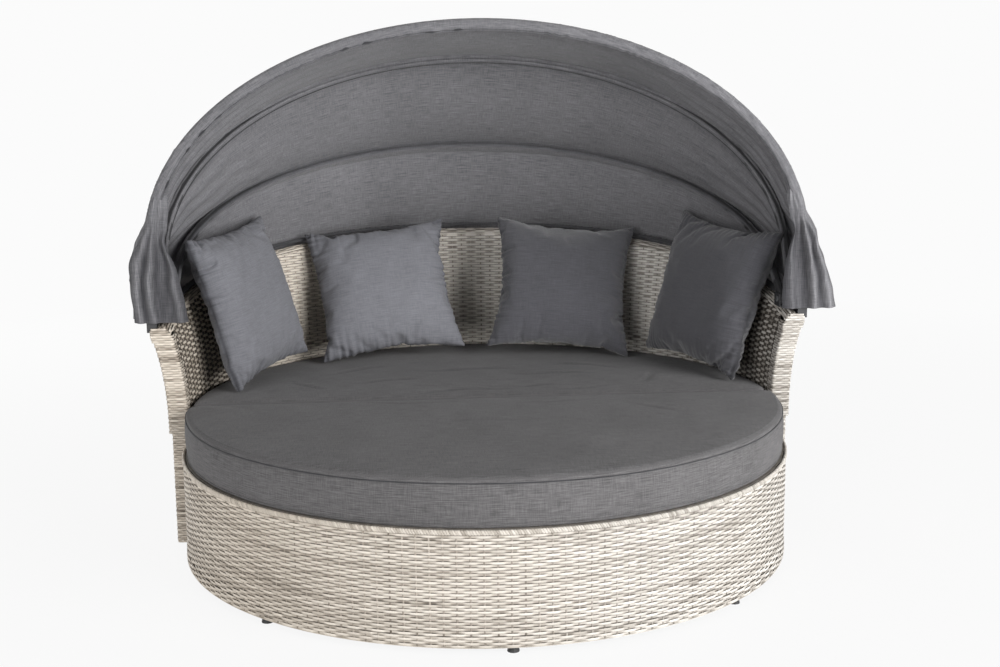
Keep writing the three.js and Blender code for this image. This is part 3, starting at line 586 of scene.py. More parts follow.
def woven(strands, place, rows, lines, face=-2.4, amplitude=1.1, width=3.0, painted_light_and_shade=None, painted_shading=0.15):
    """Plain weave: place(s, z, out) gives the plan point at an arc place, a height and a distance out
    of the visible face. rows is a list of (number, height, from, to), lines of upright strands at
    (place, low, high). Strands get painted light where they pass over and painted shade where they pass
    under, and an optional function adds more painted light and shade to their tone."""

    def lie(s, z, out, up_s=0, up_z=0):
        """Points with their width's direction and their outward direction."""
        p = place(s, z, out)
        return p, unit(place(s + up_s, z + up_z, out) - p), unit(place(s, z, out + 1) - p)

    for number, height, low, high in rows:
        if high - low < STAKE:
            continue
        bends = np.arange(math.floor(low / STAKE), math.ceil(high / STAKE) + 1)[:, None] + 0.5 + BENDS
        s = bends.ravel() * STAKE
        s = np.concatenate([[low], s[(s > low + 1) & (s < high - 1)], [high]])
        wobble = strands.random.normal(0, 0.12)
        wave = np.tanh(2.6 * np.cos(math.pi * s / STAKE + number * math.pi)) / 0.99
        out = face + amplitude * wave * (1 + 0.15 * np.sin(s / 170 + number))
        z = height + wobble + 0.2 * np.sin(s / 61 + number * 1.7)
        p, up, outward = lie(s, z, out, up_z=1)
        # Painted light and shade: lighter where a strand passes over, darker where it passes under
        tone = strands.tones(s, STAKE, strands.tone()) + painted_shading * (wave - 0.3)
        if painted_light_and_shade:
            tone = tone + painted_light_and_shade(s, wave)
        strands.add(p, outward, up, width, STRAND_THICK, tone, s)
    for s, low, high in lines:
        z = np.linspace(low, high, max(int((high - low) / 25), 2))
        p, side, outward = lie(np.full(len(z), float(s)), z, np.full(len(z), face), up_s=1)
        strands.add(p, outward, side, 2.2, 0.4, strands.tone(0.25, 0.4), z)


def level_rows(bottom, top, low, high):
    return [(k, z, low, high) for k, z in enumerate(even(bottom, top, PITCH))]


def uprights(low, high, bottom, top):
    return [(k * STAKE, bottom, top) for k in range(math.ceil(low / STAKE), math.floor(high / STAKE) + 1)]


def backing(name, place, low, high, bottom, top, body, levels=1, columns=96, depth=-4.6):
    """A thin dark sheet behind a weave, painted shade standing in for the shade inside it; top is one height
    or one for each column.
    """
    s = np.linspace(low, high, columns)
    layers = []
    for out, steps in ((depth, range(levels + 1)), (depth - BACKING_THICK, range(levels, -1, -1))):
        for k in steps:
            layers.append(place(s, bottom + (top - bottom) * k / levels + 0 * s, np.full(columns, out)))
    closed_sheet(name, np.stack(layers, 1), PAINTED_SHADE_BACKING, body, "weave")


def arc_place(radius, side):
    """Places on a round skin, behind (side 1) or in front (side -1)."""
    def place(s, z, out):
        angle = s / radius
        r = radius + out
        return np.stack([r * np.cos(angle), side * r * np.sin(angle), z + 0 * s], -1)
    return place


def flat_place(y, facing):
    """Places on a flat skin."""
    def place(s, z, out):
        return np.stack([s, y + facing * out, z + 0 * s], -1)
    return place


def even(low, high, pitch):
    """Middles of equal steps of about one pitch."""
    count = max(int(round((high - low) / pitch)), 1)
    step = (high - low) / count
    return [low + step * (k + 0.5) for k in range(count)]


def skin(name, place, low, high, bottom, top, body, node, seed):
    """A plain rectangular woven skin with its backing."""
    strands = Strands(seed)
    woven(strands, place, level_rows(bottom, top, low, high), uprights(low, high, bottom, top))
    strands.make(name, body, node)
    backing(name + "_painted_shade", place, low, high, bottom, top, body)


def arc_span(radius, start):
    """The arc places of a half-round skin that begins some way behind the split."""
    first = math.asin(start / radius)
    return first * radius, (math.pi - first) * radius


def wrapped(strands, rings, half_width, thick=0.6):
    """Strand loops side by side: rings is a list of (points round the loop, direction along the work)."""
    for points, along in rings:
        outward = unit(np.cross(np.roll(points, -1, 0) - np.roll(points, 1, 0), along))
        if np.einsum("ij,ij->i", outward, points - points.mean(0)).mean() < 0:
            outward = -outward
        strands.add(points, outward, along, half_width, thick, strands.tone(0.5, 0.72), loop=True)


def rounded(low_x, high_x, low_z, high_z, radius):
    """A rounded rectangle in (across, height), as a loop of points."""
    points = []
    for cx, cz, start in ((high_x - radius, high_z - radius, 0), (low_x + radius, high_z - radius, 90),
                          (low_x + radius, low_z + radius, 180), (high_x - radius, low_z + radius, 270)):
        points += bend(cx, cz, radius, np.radians(np.linspace(start, start + 90, 4)))
    return np.array(points)


def hem_rows(name, radius, start, side, body, node, seed):
    """The lowest rows of a skin, doubled over its edge, a little proud of the rows above."""
    strands = Strands(seed)
    low, high = arc_span(radius, start)
    place = arc_place(radius + 0.6, side)
    bottom = FOOT_HEIGHT + GAP + 1
    woven(strands, place, level_rows(bottom + 0.5, HEM_TOP_EDGE, low, high),
          uprights(low, high, bottom, HEM_TOP_EDGE), face=-1.4, amplitude=1.2)
    s = np.linspace(low, high, 500)
    for out in (-1.0, -3.6):
        edge = place(s, bottom + 0.2, np.full(len(s), out))
        outward = unit(edge * [1, 1, 0])
        strands.add(edge, (0, 0, -1), outward, 1.5, 0.8, strands.tones(s, STAKE, 0.7), s)
    strands.make(name, body, node, "braid")
    backing(name + "_painted_shade", place, low, high, bottom, HEM_TOP_EDGE, body)


def band_braid(name, radius, bottom, top, start, side, body, node, seed):
    """A border of strands wrapped round the edge, each lying a little askew."""
    strands = Strands(seed)
    section = rounded(radius - WEAVE + 0.8, radius + BRAID_PROUD - 0.8, bottom + 0.7, top - 0.7, 2.6)
    low, high = arc_span(radius, start)
    lean = (top - bottom) * 0.6
    r, height = section[:, 0], (section[:, 1] - bottom) / (top - bottom) - 0.5
    rings = []
    for s in even(low + lean, high - lean, 6.4):
        angle = (s + lean * height) / radius
        points = np.stack([r * np.cos(angle), side * r * np.sin(angle), section[:, 1]], -1)
        middle = s / radius
        rings.append((points, np.array([-math.sin(middle), side * math.cos(middle), 0])))
    wrapped(strands, rings, 3.1)
    strands.make(name, body, node, "braid")


# ---------------------------------------------------------------- footstool and base


def footstool_weave():
    start = WALL + GAP
    low, high = arc_span(FOOTSTOOL_RADIUS, start)
    skin("footstool_front_weave_strands", arc_place(FOOTSTOOL_RADIUS, -1), low, high, HEM_TOP_EDGE + GAP,
         RIM_BOTTOM - GAP, "footstool", "footstool_front_weave", 11)
    reach = math.sqrt(FOOTSTOOL_RADIUS ** 2 - WALL ** 2) - 1
    skin("footstool_back_weave_strands", flat_place(-SPLIT_GAP, 1), -reach, reach, FOOT_HEIGHT + 1,
         DECK_HEIGHT - 1, "footstool", "footstool_back_weave", 12)
    band_braid("footstool_rim_wrap", FOOTSTOOL_RADIUS, RIM_BOTTOM, DECK_HEIGHT, start, -1, "footstool",
               "footstool_rim_braid", 13)
    hem_rows("footstool_hem_rows", FOOTSTOOL_RADIUS, start, -1, "footstool", "footstool_hem_braid", 14)


def base_weave():
    start = ARM_BACK + GAP
    low, high = arc_span(BASE_RADIUS, start)
    skin("base_rear_weave_strands", arc_place(BASE_RADIUS, 1), low, high, HEM_TOP_EDGE + GAP,
         SEAT_BACK_HEIGHT, "sofa", "base_rear_weave", 21)
    hem_rows("base_hem_rows", BASE_RADIUS, start, 1, "sofa", "base_hem_braid", 22)
    skin("base_front_weave_strands", flat_place(SPLIT_GAP, -1), -BASE_FRONT_REACH, BASE_FRONT_REACH,
         FOOT_HEIGHT + 1, DECK_HEIGHT - 1, "sofa", "base_front_weave", 23)
    for side, label in SIDES:
        strands = Strands(24 + side)
        for z in even(FOOT_HEIGHT + GAP, SEAT_BACK_HEIGHT, PITCH):
            strands.over_under(np.array([(side * x, y, z) for x, y in corner_path()]), side, z)
        strands.make(f"base_corner_{label}_wrap", "sofa", f"base_corner_wrap_{label}")


def corner_path(radius=7.0):
    """The L round a base corner, in plan, from its inner front end to its rear end."""
    inner, back = BASE_RADIUS - CORNER_WIDTH + 0.5, ARM_BACK
    x, y = BASE_RADIUS - HALF_STRAND, SPLIT_GAP + HALF_STRAND
    reach = math.sqrt(BASE_RADIUS ** 2 - back ** 2) - HALF_STRAND
    corner = bend(x - radius, y + radius, radius, np.radians(np.linspace(-90, 0, 5)))
    halfway = ((x + reach) / 2, (y + radius + back) / 2)
    return [(inner, y), ((inner + x) / 2, y), *corner, halfway, (reach, back)]


# ---------------------------------------------------------------- back and arms


def rail_height(angle):
    """The height of the rail's top at an angle in plan."""
    away = np.abs(1 - angle / (math.pi / 2))
    return ARM_HEIGHT + BACK_RISE * (1 - away ** RAIL_POWER)


def flare(z, top):
    """How far the back leans out at a height."""
    share = np.clip((z - SEAT_BACK_HEIGHT) / (top - SEAT_BACK_HEIGHT), 0, None)
    return BACK_FLARE * share ** FLARE_POWER


def rail_tilt(across):
    """How much lower the rail lies at a distance across it than at its inner edge."""
    return RAIL_SIDE_DROP * (across + HALF_RAIL) / RAIL_WIDTH


def rail_edge(across):
    """The rail's lower edge above one face of the back, from the rail's top."""
    return -RAIL_RISE - rail_tilt(across)


def back_place(across, facing):
    """Places on a face of the back: s is the plan angle times the middle radius."""
    def place(s, z, out):
        angle = s / BACK_MIDDLE
        r = BACK_MIDDLE + across + flare(z, rail_height(angle)) + facing * out
        return np.stack([r * np.cos(angle), r * np.sin(angle), z + 0 * s], -1)
    return place


def back_row_span(z, across, start):
    """The arc places between which a level row runs below the rail wrap."""
    angles = np.linspace(0.02, math.pi / 2, 700)
    limit = rail_height(angles) + rail_edge(across) + 1
    radius = BACK_MIDDLE + across + flare(z, rail_height(angles))
    good = (limit > z) & (radius * np.sin(angles) > start)
    if not good.any():
        return None
    first = angles[good][0]
    return first * BACK_MIDDLE, (math.pi - first) * BACK_MIDDLE


def back_skin(name, across, facing, bottom, node, seed):
    """One of the back's two woven skins; the inner one gets painted light in the middle and painted shade at
    the arms.
    """
    strands = Strands(seed)
    place = back_place(across, facing)
    rows = []
    for number, z in enumerate(even(bottom, ARM_HEIGHT + BACK_RISE + rail_edge(across), BACK_PITCH)):
        span = back_row_span(z, across, ARM_BACK + GAP)
        if span:
            rows.append((number, z, *span))
    first, last = rows[0][2:]

    def top(s):
        return rail_height(s / BACK_MIDDLE) + rail_edge(across)

    # Painted light in the middle of the inner back; painted shade towards the arms, with stronger contrast
    # between over and under
    def inner_painted_light_and_shade(s, wave):
        arm = np.clip(np.abs(s / BACK_MIDDLE - math.pi / 2) - 0.9, 0, 0.4) / 0.4
        return 0.42 - 1.02 * arm + (0.14 + 0.3 * arm) * wave

    lines = [(s, bottom, float(top(s))) for s, _, _ in uprights(first, last, 0, 0)]
    look = {"painted_light_and_shade": inner_painted_light_and_shade, "painted_shading": 0.24} if facing < 0 else {}
    woven(strands, place, rows, lines, width=3.45, **look)
    strands.make(name, "sofa", node)
    backing(name + "_painted_shade", place, first, last, bottom, top(np.linspace(first, last, 120)), "sofa", 8, 120)


def rail_point(across, drop, angle):
    """A point of the rail, by its distance across from the middle and above the top."""
    top = rail_height(angle)
    z = top + drop
    radius = BACK_MIDDLE + across + flare(z, top)
    return np.stack([radius * np.cos(angle), radius * np.sin(angle), z + 0 * angle], -1)


def rail_wrap():
    """The weave goes on over the rail: rows along it, with the stakes bent over its top."""
    depth = 2.6
    turns = np.linspace(math.pi * 1.02, -math.pi * 0.02, 61)
    across = (HALF_RAIL - depth) * np.cos(turns)
    drop = (RAIL_RISE - depth) * (np.sin(turns) - 1) - depth
    drop = np.minimum(drop, -depth) - rail_tilt(across)
    around = run_lengths(np.stack([across, drop], -1))
    first = math.asin((SPLIT_GAP + RAIL_END) / RAIL_END_RADIUS)

    def place(s, height, out):
        angle = np.clip(s / BACK_MIDDLE, first, math.pi - first)
        turn = np.interp(height, around, turns)
        side = np.interp(height, around, across) + out * np.cos(turn)
        low = np.interp(height, around, drop) + out * np.sin(turn)
        return rail_point(side, low, angle)

    strands = Strands(31)
    low, high = first * BACK_MIDDLE, (math.pi - first) * BACK_MIDDLE
    woven(strands, place, level_rows(0, around[-1], low, high), uprights(low, high, 1, around[-1] - 1),
          face=-0.4, amplitude=1.3, width=2.9)
    strands.make("back_rail_strands", "sofa", "back_rail_wrap", "braid")
    backing("back_rail_painted_shade", place, low, high, 0, around[-1], "sofa", 8, depth=-2.4)


def arm_wraps():
    """The woven front ends of the arms, narrower towards the rounded rail."""
    y = SPLIT_GAP + HALF_STRAND
    for side, label in SIDES:
        strands = Strands(34 + side)
        for z in even(SEAT_BACK_HEIGHT + GAP, ARM_HEIGHT - 8, PITCH):
            over = z - (ARM_HEIGHT - ARM_SHOULDER)
            half, back, radius = HALF_BACK, ARM_BACK, 6.0
            if over > 0:
                half = HALF_RAIL * math.sqrt(max(1 - (max(over - ARM_STRAIGHT, 0) / ARM_CURVE) ** 2, 0.05))
                back, radius = SPLIT_GAP + 3, 1.5
            inner_back = ARM_BACK if z < ARM_HEIGHT - RAIL_RISE else back
            edge = half - HALF_STRAND
            across = [(-edge, inner_back), (-edge, y + radius),
                      *bend(radius - edge, y + radius, radius, np.radians([195, 225, 255])),
                      (-half / 3, y), (half / 3, y),
                      *bend(edge - radius, y + radius, radius, np.radians([285, 315, 345])),
                      (edge, y + radius), (edge, back)]
            lean = BACK_MIDDLE + float(flare(z, ARM_HEIGHT))
            path = [(side * math.sqrt((lean + a) ** 2 - depth * depth), depth, z) for a, depth in across]
            strands.over_under(np.array(path), side, z)
        strands.make(f"arm_{label}_strands", "sofa", f"arm_wrap_{label}")


# ---------------------------------------------------------------- cushions


def cushion_outline(radius, side, inset, half):
    """The half-round outline drawn in by an inset: half points along the arc from the right corner to
    the left one, then half points back along the front."""
    corner = max(CUSHION_CORNER - inset, 4.0)
    r = radius - inset
    low = CUSHION_FRONT + inset
    y = low + corner
    x = math.sqrt((r - corner) ** 2 - y ** 2)
    turn = math.atan2(y, x)
    middle = (turn - math.pi / 2) / 2
    arc = bend(x, y, corner, np.linspace(middle, turn, 12))
    arc += bend(0, 0, r, np.linspace(turn, math.pi / 2, 300)[1:])
    front = bend(x, y, corner, np.linspace(middle, -math.pi / 2, 12))
    front += [(x * t, low) for t in np.linspace(1, 0, 200)[1:]]
    result = []
    for points, order in ((arc, 1), (front, -1)):
        line = np.array(points + [(-px, py) for px, py in points[-2::-1]])[::order]
        lengths = run_lengths(line)
        result.append(along_line(line, lengths, np.linspace(0, lengths[-1], half, endpoint=False)))
    return np.concatenate(result) * [1, side]


CUSHION_ROWS = 90
CUSHION_HALF_OUTLINE = 240
# How much the sides swell in and out at most, and where the gathers of the upper seam are
CUSHION_SWELL = 1.6
GATHERS_MIDDLE, GATHERS_SPREAD = 96.0, 14.0
# The cords: name, how far in, height, cloth. The top cord's dark thread also stands in for the shade in its
# groove, as painted shade.
CORD_RADIUS = 1.4
CUSHION_CORDS = (("top", 1.6, 99.6, SEAM_THREAD_AND_SHADOW), ("bottom", 2.2, 6.2, SEAT))
# The side of a cushion: how far in and how high each ring lies
CUSHION_PROFILE = [(60, 0.0), (20, 0.0), (6, 0.3), (2.4, 2.4), (2.0, 4.4), (3.6, 6.2), (1.8, 8.4),
                   (0.4, 16.0), (-1.6, 34.0), (-2.4, 56.0), (-1.8, 78.0), (-0.2, 92.0), (1.4, 98.0),
                   (3.6, 99.6), (2.2, 101.8), (4.6, 106.6), (8.6, 110.0), (14.0, 112.4)]
# Creases pressed into the cushion tops: middle x, y, bearing in degrees, half-length, depth, half-width
SEAT_CREASES = [
    (-60, 60, 6, 190, 2.6, 9), (120, 92, -4, 150, 2.0, 8), (-260, 190, 14, 120, 2.2, 9),
    (210, 240, -12, 130, 2.2, 8), (-20, 330, 3, 170, 2.4, 10), (330, 330, -28, 110, 2.6, 9),
    (-340, 350, 30, 110, 2.4, 9), (470, 150, 60, 80, 1.8, 8), (-480, 160, -55, 90, 1.8, 8),
    (60, 180, 10, 90, 1.4, 6), (-150, 128, -8, 80, 1.6, 6), (300, 60, 8, 110, 1.8, 7),
]
STOOL_CREASES = [
    (-200, -70, -5, 160, 1.6, 9), (180, -110, 6, 150, 1.4, 9), (0, -300, 2, 200, 1.0, 12),
    (-420, -240, 38, 100, 1.2, 9), (430, -220, -40, 110, 1.4, 9),
]


def crease_depth(spot, creases):
    """How deep the creases press in at some places; below 0 beside them, where they push up."""
    total = np.zeros(len(spot))
    for x, y, bearing, reach, depth, width in creases:
        c, s = math.cos(math.radians(bearing)), math.sin(math.radians(bearing))
        forward = (spot[:, 0] - x) * c + (spot[:, 1] - y) * s
        sideways = (spot[:, 1] - y) * c - (spot[:, 0] - x) * s - 8 * np.sin(forward / 45 + depth * 3)
        line = np.exp(-(sideways / width) ** 2) - 0.6 * np.exp(-((sideways - 1.8 * width) / width) ** 2)
        total = total + depth * np.clip(1 - (forward / reach) ** 2, 0, 1) * line
    return total


def cushion(name, radius, side, body, node, seed, creases):
    """A boxed half-round cushion: profile rings up its side, then a crowned top."""
    half = CUSHION_HALF_OUTLINE
    count = 2 * half
    base = DECK_HEIGHT + GAP
    edge = cushion_outline(radius, side, 0, half)
    ahead = unit(np.roll(edge, -1, 0) - np.roll(edge, 1, 0))
    inward = np.stack([-ahead[:, 1], ahead[:, 0]], -1) * side
    along = run_lengths(edge)
    loop = along / (along[-1] + np.linalg.norm(edge[0] - edge[-1]))
    swell = ring_noise(loop, seed + 5, 7) * 1.4 + ring_noise(loop, seed + 6, 19) * 0.7
    gathers = ring_noise(loop, seed + 7, 60) * 0.5
    rings = []
    for inset, z in CUSHION_PROFILE:
        pull = swell + gathers * math.exp(-abs(z - GATHERS_MIDDLE) / GATHERS_SPREAD)
        pull = np.clip(pull * (1 if 10 < z < 99 else 0.3), -CUSHION_SWELL, CUSHION_SWELL)
        spot = edge + inward * (inset - pull)[:, None]
        rings.append(np.column_stack([spot, np.full(count, base + z)]))
    front_order = np.roll(np.arange(count), -1)[half - 1:count - 1][::-1]
    first, last = rings[-1][:half, :2], rings[-1][front_order, :2]
    top, pressed = [], [np.zeros(len(rings) * count)]
    for share in (1 - np.cos(np.linspace(0, math.pi, CUSHION_ROWS + 1)[1:-1])) / 2:
        spot = first + (last - first) * share
        gap = np.linalg.norm(spot[:, None, :] - edge[None, ::2, :], axis=2).min(1)
        inside = np.maximum(gap - CUSHION_PROFILE[-1][0], 0)
        rise = 0.4 + (CUSHION_CROWN - 0.4) * (1 - np.exp(-inside / CROWN_REACH))
        wave = soft_noise(*spot.T, seed, 420) * 2.2 + soft_noise(*spot.T, seed + 1, 130) * 0.9
        crease = crease_depth(spot, creases)
        wave = np.clip(wave, -3.5, 3.0) - 1.4 * crease
        z = base + CUSHION_THICKNESS + rise + wave * (1 - np.exp(-inside / 40))
        top.append(np.column_stack([spot, z]))
        pressed.append(crease)
    points = np.concatenate(rings + top)
    upper = (len(rings) - 1) * count
    index = [np.arange(half) + upper]
    for k in range(len(top)):
        index.append(np.arange(half) + upper + count + k * half)
    index = np.stack(index + [front_order + upper])
    grid = np.stack([index[:-1, :-1], index[:-1, 1:], index[1:, 1:], index[1:, :-1]], -1).reshape(-1, 4)
    faces = np.concatenate([grid_faces(len(rings), count), grid])
    cloth = points / 1000
    sides = len(CUSHION_PROFILE) - 2
    cloth[:sides * count, 0] = np.tile(along, sides) / 1000
    cloth[:sides * count, 1] = cloth[:sides * count, 2]
    cloth[:, 2] = 0
    # Painted shade: the tops are darker, more so towards the back under the canopy, and in the creases
    high = np.clip((points[:, 2] - base - 104) / 8, 0, 1)
    deep = np.clip(points[:, 1] / 260, 0, 1)
    painted_shade = np.clip(high * (0.16 + 0.3 * deep) + 0.13 * np.concatenate(pressed), 0, 1)
    piece = new_object(name, points, faces, SEAT, body, "seat_cloth", {"cloth": cloth, "painted_shade": painted_shade})
    mend(piece.data, weld=True)
    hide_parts(node)
    for label, inset, z, material in CUSHION_CORDS:
        line = cushion_outline(radius, side, inset, half)
        centre = np.column_stack([line, base + z + 0.4 * np.sin(along / 90)])
        tube(f"{name}_{label}_seam", centre, CORD_RADIUS, material, body, "seat_cloth", 8, closed=True)


# ---------------------------------------------------------------- pillows

PILLOW_SIZE = 440.0
# Each pillow's bearing and distance towards the back, its yaw, lean and roll, its cloth, slot and seed
PILLOWS = {
    "pillow_far_left": (155.2, 30.0, 66, 17, 4, GREY, "grey_cloth", 0),
    "pillow_left": (114.2, 0.0, 4, 30, 6, GREY, "grey_cloth", 1),
    "pillow_right": (63.0, -10.0, -2, 31, -6, CHARCOAL, "charcoal_cloth", 2),
    "pillow_far_right": (21.9, 42.0, -64, 17, -4, CHARCOAL, "charcoal_cloth", 3),
}
# The flat cover's size in metres and its cells, then how full and how drawn in a pillow is
PILLOW_CUT = 0.46
PILLOW_CELLS = 56
PILLOW_FULLNESS = 0.318
PILLOW_WAIST = 0.05
GATHER_REACH = 0.036
GATHER_HEIGHT = 0.0042
FILL_FRAMES = 12
# The cloth simulation that fills a cover; its rim shrinks by the last value
FILL_SETTINGS = {
    "quality": 6, "mass": 0.3, "tension_stiffness": 15, "compression_stiffness": 15, "shear_stiffness": 5,
    "bending_stiffness": 0.05, "air_damping": 2, "use_pressure": True, "vertex_group_shrink": "rim",
    "shrink_min": 0.0, "shrink_max": 0.037,
}


def pillow_grid(seed):
    """Two square layers joined at their rims, slightly apart: points in metres, quads, cloth places
    and the grid."""
    n = PILLOW_CELLS + 1
    line = np.linspace(-1, 1, n)
    u, v = np.meshgrid(line, line, indexing="ij")
    rise = 0.003 + 0.02 * np.cos(u * math.pi / 2) * np.cos(v * math.pi / 2)
    rim = (np.abs(u) > 0.999) | (np.abs(v) > 0.999)
    front = np.arange(n * n).reshape(n, n)
    back = front.copy()
    back[~rim] = n * n + np.arange((~rim).sum())
    layers = []
    for side in (-1, 1):
        fold = soft_noise(u * 230, v * 230, seed * 2 + side, 60) * 0.0009
        height = np.where(rim, 0, side * (rise + fold))
        layers.append(np.stack([u * PILLOW_CUT / 2, height, v * PILLOW_CUT / 2], -1))
    points = np.concatenate([layers[0].reshape(-1, 3), layers[1][~rim]])
    faces = []
    for index, order in ((front, 1), (back, -1)):
        quads = np.stack([index[:-1, :-1], index[1:, :-1], index[1:, 1:], index[:-1, 1:]], -1)
        faces.append(quads.reshape(-1, 4)[:, ::order])
    places = np.stack([u * PILLOW_CUT / 2, v * PILLOW_CUT / 2, 0 * u], -1)
    cloth = np.concatenate([places.reshape(-1, 3), places[~rim]])
    return points, np.concatenate(faces), cloth, (u, v, rim)


def filled(points, faces, rim, seed):
    """Fills a flat cover by air pressure in a short cloth simulation whose rim draws in; gives the new
    points."""
    mesh = bpy.data.meshes.new("cover_pattern")
    mesh.from_pydata(points.tolist(), [], faces.tolist())
    cover = link("cover_pattern", mesh)
    scene = bpy.context.scene
    cover.vertex_groups.new(name="rim").add(rim.tolist(), 1.0, "REPLACE")
    modifier = cover.modifiers.new("fill", "CLOTH")
    for key, value in FILL_SETTINGS.items():
        setattr(modifier.settings, key, value)
    modifier.settings.uniform_pressure_force = 5 + 0.4 * (seed % 3)
    modifier.settings.effector_weights.gravity = 0
    modifier.collision_settings.use_collision = False
    modifier.point_cache.frame_start = 1
    modifier.point_cache.frame_end = FILL_FRAMES
    for number in range(1, FILL_FRAMES + 1):
        scene.frame_set(number)
    result = cover.evaluated_get(bpy.context.evaluated_depsgraph_get()).to_mesh()
    moved = np.zeros(len(result.vertices) * 3)
    result.vertices.foreach_get("co", moved)
    moved = moved.reshape(-1, 3)
    bpy.data.objects.remove(cover)
    bpy.data.meshes.remove(mesh)
    scene.frame_set(1)
    return moved


def pillow_form(seed):
    """A stuffed square pillow standing in the XZ plane, in millimetres."""
    points, faces, cloth, (u, v, rim) = pillow_grid(seed)
    points = filled(points, faces, np.flatnonzero(rim.ravel()), seed)
    middle = (points.max(0) + points.min(0)) / 2
    size = points.max(0) - points.min(0)
    points = (points - middle) / size * [PILLOW_SIZE, PILLOW_SIZE * PILLOW_FULLNESS, PILLOW_SIZE]
    across, up = points[:, 0] * 2 / PILLOW_SIZE, points[:, 2] * 2 / PILLOW_SIZE
    points[:, 0] *= 1 - PILLOW_WAIST * (1 - up ** 2) * across ** 2
    points[:, 2] *= 1 - PILLOW_WAIST * (1 - across ** 2) * up ** 2
    return points, faces, cloth


def pillow_matrix(name):
    bearing, to_wall, yaw, lean, roll, *_ = PILLOWS[name]
    half = PILLOW_SIZE / 2
    reach = math.sqrt(SEAT_RADIUS ** 2 - half ** 2) - half * math.sin(math.radians(lean)) + to_wall
    angle = math.radians(bearing)
    turn = (Matrix.Rotation(math.radians(yaw), 3, "Z") @ Matrix.Rotation(math.radians(-lean), 3, "X")
            @ Matrix.Rotation(math.radians(-roll), 3, "Y"))
    return np.array(turn), np.array([reach * math.cos(angle), reach * math.sin(angle), 0.0])


def pillow(name):
    *_, material, slot, seed = PILLOWS[name]
    points, faces, cloth = pillow_form(seed * 7 + 3)
    turn, place = pillow_matrix(name)
    points = points @ turn.T + place
    low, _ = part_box(name)
    points[:, 2] += low.z * 1000 - points[:, 2].min()
    piece = new_object(name + "_cover", points, faces, material, "sofa", slot, {"cloth": cloth})
    mend(piece.data)
    smooth_piece(piece)
    crinkle(piece, seed)
    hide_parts(name)


def crinkle(piece, seed):
    """Small gathers square to a pillow's rim, and painted shade in them and along the rim."""
    mesh = piece.data
    points, normals, cloth = np.zeros((3, len(mesh.vertices) * 3), np.float32)
    mesh.vertices.foreach_get("co", points)
    mesh.vertices.foreach_get("normal", normals)
    mesh.attributes["cloth"].data.foreach_get("vector", cloth)
    points, normals, cloth = (array.reshape(-1, 3) for array in (points, normals, cloth))
    depths = PILLOW_CUT / 2 - np.abs(cloth[:, :2])
    rise = 0
    for across, shift in ((0, 0), (1, 30)):
        depth = depths[:, across]
        side = np.sign(cloth[:, across]) * 3 + shift
        along = cloth[:, 1 - across] * 1000
        wave = ripple(along + side * 17, seed + shift, 24)
        wave = wave + 0.5 * ripple(along - side * 11, seed + shift + 1, 13)
        rise = rise + wave * np.exp(-depth / GATHER_REACH) * (1 - np.exp(-depth / 0.005))
    points += normals * (rise * GATHER_HEIGHT)[:, None]
    mesh.vertices.foreach_set("co", points.ravel())
    # Painted shade along the rim and in the valleys of the gathers
    near = depths.min(1)
    painted_shade = 0.8 * np.exp(-near / 0.007) + np.clip(-rise, 0, 1) * 0.6 + 0.28 * np.exp(-near / 0.045)
    layer = mesh.attributes.new("painted_shade", "FLOAT", "POINT")
    layer.data.foreach_set("value", np.clip(painted_shade, 0, 1).astype(np.float32))
    mesh.update()


def smooth_piece(piece):
    """Applies one subdivision to a piece's mesh."""
    modifier = piece.modifiers.new("fine", "SUBSURF")
    modifier.levels = modifier.render_levels = 1
    graph = bpy.context.evaluated_depsgraph_get()
    mesh = bpy.data.meshes.new_from_object(piece.evaluated_get(graph), depsgraph=graph)
    piece.modifiers.remove(modifier)
    old = piece.data
    piece.data = mesh
    mesh.name = old.name
    bpy.data.meshes.remove(old)


# ---------------------------------------------------------------- canopy


class Hoop:
    """One canopy hoop: legs and half an ellipse, in a plane tilted about the pivot line."""

    def __init__(self, half_width, tilt):
        self.half_width = half_width
        tilt = math.radians(tilt)
        self.across = np.array([0, -math.sin(tilt), math.cos(tilt)])
        leg = np.linspace(0, HOOP_LEG, 60)[:-1]
        turn = np.linspace(0, math.pi, 1200)
        straight = np.full(len(leg), half_width)
        x = np.concatenate([straight, half_width * np.cos(turn), -straight])
        reach = np.concatenate([leg, HOOP_LEG + HOOP_RISE * np.sin(turn), leg[::-1]])
        self.points = np.stack([x, PIVOT[1] + reach * math.cos(tilt), PIVOT[2] + reach * math.sin(tilt)], -1)
        self.lengths = run_lengths(self.points)

    def at(self, share):
        return along_line(self.points, self.lengths, np.asarray(share) * self.lengths[-1])

    def outward(self, share):
        step = 0.002
        ahead = self.at(np.clip(share + step, 0, 1)) - self.at(np.clip(share - step, 0, 1))
        return unit(np.cross(ahead, self.across))

    def outer_line(self, share):
        """Where cloth lies on the hoop's outside."""
        return self.at(share) + self.outward(share) * CLOTH_LIFT


FRONT = Hoop(HOOP_HALF_WIDTH, TILTS["front"])
MIDDLE = Hoop(HOOP_HALF_WIDTH - HOOP_PITCH, TILTS["middle"])
REAR = Hoop(HOOP_HALF_WIDTH - 2 * HOOP_PITCH, TILTS["rear"])


# How far each skirt hangs out beyond its hoop at heights above its hem
SKIRT_HEIGHTS = (0.0, 60.0, 110.0, 160.0, 210.0, 260.0)
SKIRT_OUT = {1: (84.0, 66.0, 47.0, 36.0, 25.0, 0.0), -1: (33.0, 37.0, 42.0, 37.0, 20.0, 0.0)}


